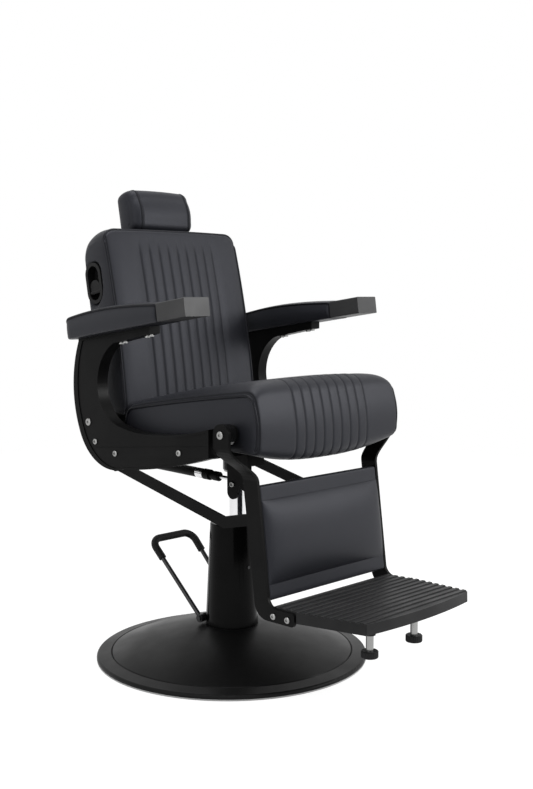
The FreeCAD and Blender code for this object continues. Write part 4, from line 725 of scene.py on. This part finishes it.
# Bare metals: scratches per metre, two colours, roughness, bump strength and depth, metallic share.
metals = {
    "chrome": (900.0, (0.70, 0.70, 0.71), (0.80, 0.80, 0.81), (0.10, 0.18), (0.04, 0.0002), 1.0),
    "bright_steel": (1400.0, (0.26, 0.26, 0.26), (0.38, 0.38, 0.37), (0.20, 0.34), (0.10, 0.0003), 1.0),
    "dark_steel": (900.0, (0.03, 0.03, 0.031), (0.06, 0.06, 0.062), (0.30, 0.42), (0.10, 0.0003), 0.8),
}
for name, (scale, dark, pale, rough, bump, share) in metals.items():
    looks[name] = finish_of(name, bright, scale, (dark, pale), "Cloud", rough, "Scratch", bump,
                            metallic=share)

# Pieces that look different from the rest of their slot.
own_look = {"pivot_spacers": "spool_black", "release_bezel": "handle_black", "release_paddle": "handle_black",
            "column_screw": "dark_steel"}
slot_of = {p["node"]: p["material_slot"] for p in frame["record"]["subparts"]}
for name, obj in nodes.items():
    obj.data.materials.clear()
    obj.data.materials.append(looks[own_look.get(name, slot_of[name])])


def dress(obj, body, look="black_leather", stands_for=()):
    """Give a new piece its material and its body, and hide the parts that it stands for."""
    obj.data.materials.append(looks[look])
    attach(obj, body)
    if stands_for:
        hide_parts(*stands_for)


def numbers(sections):
    """Point numbers of a tube's grid, section by section."""
    count, n = sections.shape[:2]
    return np.arange(count * n).reshape(count, n)


def add_piping(name, path, radius, body):
    """Round piping along a path, riding on a body; the radius is in millimetres."""
    dress(put(name, *cord_of(even(path, CORD_STEP * MM), radius * MM)), body, "piping")


def pocketed(points):
    """Push the right side of the back pad in behind the release handle's bezel.

    The share of the depth falls from 1 to 0 across a rim, by the distance from a short line up the
    back. Gives the points and their shares; side, face and depth are in metres.
    """
    side, face, depth, radius, rim = -0.19, -0.227, 0.030, 29.5, 5.0
    turn = math.radians(BACK_RAKE)
    up = np.array([math.sin(turn), math.cos(turn)])
    gap = points[:, 1:] / MM - np.array(stand(HANDLE_DEPTH, HANDLE_HEIGHT, BACK_RAKE, BACK_Y, BACK_Z))
    along = np.clip(gap @ up, -HANDLE_REACH, HANDLE_REACH)
    away = np.linalg.norm(gap - along[:, None] * up, axis=1)
    share = np.clip((radius - away) / rim, 0, 1) * (points[:, 0] < side)
    points = points.copy()
    points[:, 0] = np.where(share > 0, np.minimum(points[:, 0], face) + share * depth, points[:, 0])
    return points, share


# Seat pad: channels and side seams are held while it swells.
seat_x, sections, marks, face = seat_shape()
seat_pad = put("seat_pad", *capped(sections * MM, rows=16, bulge=5.0 * MM))
ids = numbers(sections)
front_end = marks[6]
sewn = ids[sewn_depth(seat_x) > LINE_HELD][:, face > FACE_HELD]
held = np.concatenate([sewn.ravel(), ids[[0, -1]].ravel(), ids[:, front_end:].ravel()])
swell(seat_pad, held, ids.shape, cap=2.0, ease=(1, 60))
dress(seat_pad, "seat", stands_for=("seat_cushion",))
# Painted shade: darken the channel lines and a strip beside each side seam.
shade_beside = bell(SEAT_HALF - np.abs(seat_x) - SEAM_IN, SEAM_WIDTH)
mark_fold_shade(seat_pad, CHANNEL_SHADE * sewn_depth(seat_x)[:, None] * face + shade_beside[:, None])
p = coords(seat_pad)
rim = np.arange(marks[1] - 4, front_end - 2)
for label, end in (("right", 0), ("left", -1)):
    path = p[ids[end][rim]]
    path[:, 0] += math.copysign(SEAT_CORD_OUT * MM, path[0, 0])
    add_piping("seat_piping_" + label, path, SEAT_CORD, "seat")
smooth_once(seat_pad)

# Back pad, with piping up both sides and over the top.
back_x, sections, marks, face = back_shape()
points, quads, tris = capped(sections * MM, rows=16, bulge=4.0 * MM)
points, sunk = pocketed(points)
back_pad = put("back_pad", points, quads, tris)
ids = numbers(sections)
top_seam = marks[2] - 3
sewn = ids[sewn_depth(back_x) > LINE_HELD][:, face > FACE_HELD]
held = np.concatenate([sewn.ravel(), ids[[0, -1]].ravel(), ids[:, top_seam], ids[:, marks[5]:].ravel(),
                       np.nonzero(sunk > 0)[0]])
swell(back_pad, held, ids.shape, cap=2.0, ease=(1, 60))
dress(back_pad, "back", stands_for=("back_cushion",))
# Painted shade: darken the channel lines, a strip beside each side seam and bands either side of the top
# seam.
sample = np.arange(ids.shape[1])
shade_beside = bell(BACK_HALF - np.abs(back_x) - SEAM_IN, SEAM_WIDTH)[:, None] * (sample < marks[2])
shade_over_top = bell(np.abs(sample - top_seam) - SHADE_GAP, BACK_SHADE_WIDTH)
mark_fold_shade(back_pad, CHANNEL_SHADE * sewn_depth(back_x)[:, None] * face + shade_beside + shade_over_top)
p = coords(back_pad)
rise = np.arange(1, top_seam + 1)
path = np.concatenate([p[ids[0][rise]], p[ids[1:-1, top_seam]], p[ids[-1][rise[::-1]]]])
add_piping("back_piping", path, BACK_CORD, "back")
smooth_once(back_pad)

# Headrest pad with a stitched seam and a welt near each end.
head_x, sections, marks = head_shape()
seam = bell(np.abs(head_x) - HEAD_SEAM_X, HEAD_SEAM_WIDTH)
sections = sections - outward(sections) * (HEAD_SEAM_SINK * seam)[:, None, None]
head_pad = put("head_pad", *capped(sections * MM, rows=10, bulge=3.0 * MM))
ids = numbers(sections)
welts = [int(np.argmin(np.abs(head_x - at))) for at in (-HEAD_WELT_X, HEAD_WELT_X)]
held = np.concatenate([ids[seam > HEAD_SEAM_HELD].ravel(), ids[welts].ravel(), ids[:, marks[6]:].ravel()])
swell(head_pad, held, ids.shape, cap=2.0, ease=(10, 30))
dress(head_pad, "headrest", stands_for=("headrest_cushion",))
# Painted shade: darken the stitched seam and bands either side of each welt.
shade_beside = bell(np.abs(np.abs(head_x) - HEAD_WELT_X) - HEAD_SHADE_GAP, HEAD_SHADE_WIDTH)
mark_fold_shade(head_pad, np.repeat((HEAD_SEAM_SHADE * seam + shade_beside)[:, None], ids.shape[1], 1))
p = coords(head_pad)
for label, welt in zip(("right", "left"), welts):
    add_piping("head_piping_" + label, p[ids[welt]], HEAD_CORD, "headrest")
smooth_once(head_pad)

# Arm pads with piping round their upper edges.
for label, side in (("left", 1), ("right", -1)):
    arm_y, sections, marks = arm_shape(side)
    pad = put("arm_cushion_" + label, *capped(sections * MM, rows=8, bulge=0.0, along=1))
    ids = numbers(sections)
    seam_a, seam_b = marks[3] + 3, marks[5] + 3
    held = np.concatenate([ids[:, :marks[2]].ravel(), ids[:, seam_a], ids[:, seam_b], ids[-1]])
    swell(pad, held, ids.shape, cap=1.5, ease=(30, 4))
    dress(pad, "seat", stands_for=("arm_pad_" + label,))
    # Painted shade: darken bands beside both piping seams and the whole front end where the pad meets the arm
    # end.
    sample = np.arange(ids.shape[1])
    step = np.minimum(np.abs(sample - seam_a), np.abs(sample - seam_b))
    mark_fold_shade(pad, bell(step - SHADE_GAP, ARM_SHADE_WIDTH)[None, :] + (arm_y < SEAM_IN - ARM_LENGTH)[:, None])
    p = coords(pad)
    path = np.concatenate([p[ids[:1:-1, seam_a]], p[ids[1][seam_a:seam_b + 1]], p[ids[2:, seam_b]]])
    add_piping("arm_piping_" + label, path, ARM_CORD, "seat")
    smooth_once(pad)

# Leg rest: calf pad and covered board.
sections, front_count = calf_shape()
calf = put("calf_cushion", *capped(sections * MM, rows=4, bulge=0.0))
ids = numbers(sections)
held = np.concatenate([ids[:, front_count - 1:].ravel(), ids[:, 0], ids[[0, -1]].ravel()])
swell(calf, held, ids.shape, cap=2.0, ease=(30, 30))
dress(calf, "legrest", stands_for=("calf_pad",))
smooth_once(calf)
board = put("leg_board", *capped(board_shape() * MM, rows=4, bulge=0.0))
dress(board, "legrest", stands_for=("leg_panel",))


def shown(tree):
    """1 for rays that show a surface itself (camera, mirror, glass), 0 for rays that light other things."""
    ray = tree.nodes.new("ShaderNodeLightPath").outputs
    direct = math_node(tree, "ADD", ray["Is Camera Ray"], ray["Is Glossy Ray"])
    return math_node(tree, "ADD", direct, ray["Is Transmission Ray"], clamp=True)


def plain_shader(tree, kind, grey):
    """A diffuse or emission shader of one grey."""
    n = tree.nodes.new("ShaderNode" + kind)
    n.inputs["Color"].default_value = (grey, grey, grey, 1)
    return n.outputs[0]


# White floor: it lights the chair as a pale matt sheet and is shown with a glow that whitens it.
FLOOR_HALF = 3.6
FLOOR_LIT, FLOOR_FAINT, FLOOR_GLOW = 0.80, 0.26, 0.91
corners = np.array([[-1, -1, 0], [1, -1, 0], [1, 1, 0], [-1, 1, 0]]) * FLOOR_HALF
ground = put("floor", corners, np.array([[0, 1, 2, 3]]))
m = bpy.data.materials.new("floor_white")
m.use_nodes = True
t = m.node_tree
t.nodes.remove(t.nodes["Principled BSDF"])
both = t.nodes.new("ShaderNodeAddShader")
t.links.new(plain_shader(t, "BsdfDiffuse", FLOOR_FAINT), both.inputs[0])
t.links.new(plain_shader(t, "Emission", FLOOR_GLOW), both.inputs[1])
pick = t.nodes.new("ShaderNodeMixShader")
t.links.new(shown(t), pick.inputs[0])
t.links.new(plain_shader(t, "BsdfDiffuse", FLOOR_LIT), pick.inputs[1])
t.links.new(both.outputs[0], pick.inputs[2])
t.links.new(pick.outputs[0], t.nodes["Material Output"].inputs["Surface"])
ground.data.materials.append(m)

# White surroundings, weaker as a light than as they are shown.
WORLD_LIGHT, WORLD_SHOWN = 0.30, 1.0
world = bpy.data.worlds.new("studio")
scene.world = world
world.use_nodes = True
t = world.node_tree
sky = t.nodes["Background"]
sky.inputs["Color"].default_value = (1, 1, 1, 1)
t.links.new(remap(t, shown(t), 0.0, 1.0, WORLD_LIGHT, WORLD_SHOWN), sky.inputs["Strength"])


def lamp(name, place, aim, size, power):
    """Square soft lamp at a place, turned to a point."""
    data = bpy.data.lights.new(name, "AREA")
    data.shape, data.size, data.energy = "SQUARE", size, power
    obj = bpy.data.objects.new(name, data)
    obj.location = place
    obj.rotation_euler = (Vector(aim) - Vector(place)).to_track_quat("-Z", "Y").to_euler()
    scene.collection.objects.link(obj)


# Lamps: place, aim and size in metres, power in watts.
lamp("key", (2.0, -2.9, 1.8), (0, -0.1, 0.7), 1.1, 60.0)
lamp("top", (-0.2, -0.2, 3.2), (0, 0, 0.6), 2.2, 46.0)
lamp("left_fill", (-3.2, -0.6, 1.6), (0, 0, 0.6), 1.8, 16.0)

# Camera fitted to the photograph: focal length and width in pixels, place in metres, angles in degrees.
FOCAL, PHOTO_WIDTH, SENSOR = 1122.6, 533.0, 36.0
EYE, HEADING, DIP = (-1.99603, -2.05834, 0.93592), 45.92, 5.11
camera = bpy.data.cameras.new("photo_view")
camera.sensor_fit, camera.sensor_width = "HORIZONTAL", SENSOR
camera.lens = FOCAL * SENSOR / PHOTO_WIDTH
eye = bpy.data.objects.new("photo_view", camera)
eye.location = EYE
az, el = math.radians(HEADING), math.radians(DIP)
look = Vector((math.sin(az) * math.cos(el), math.cos(az) * math.cos(el), -math.sin(el)))
eye.rotation_euler = look.to_track_quat("-Z", "Y").to_euler()
scene.collection.objects.link(eye)
scene.camera = eye
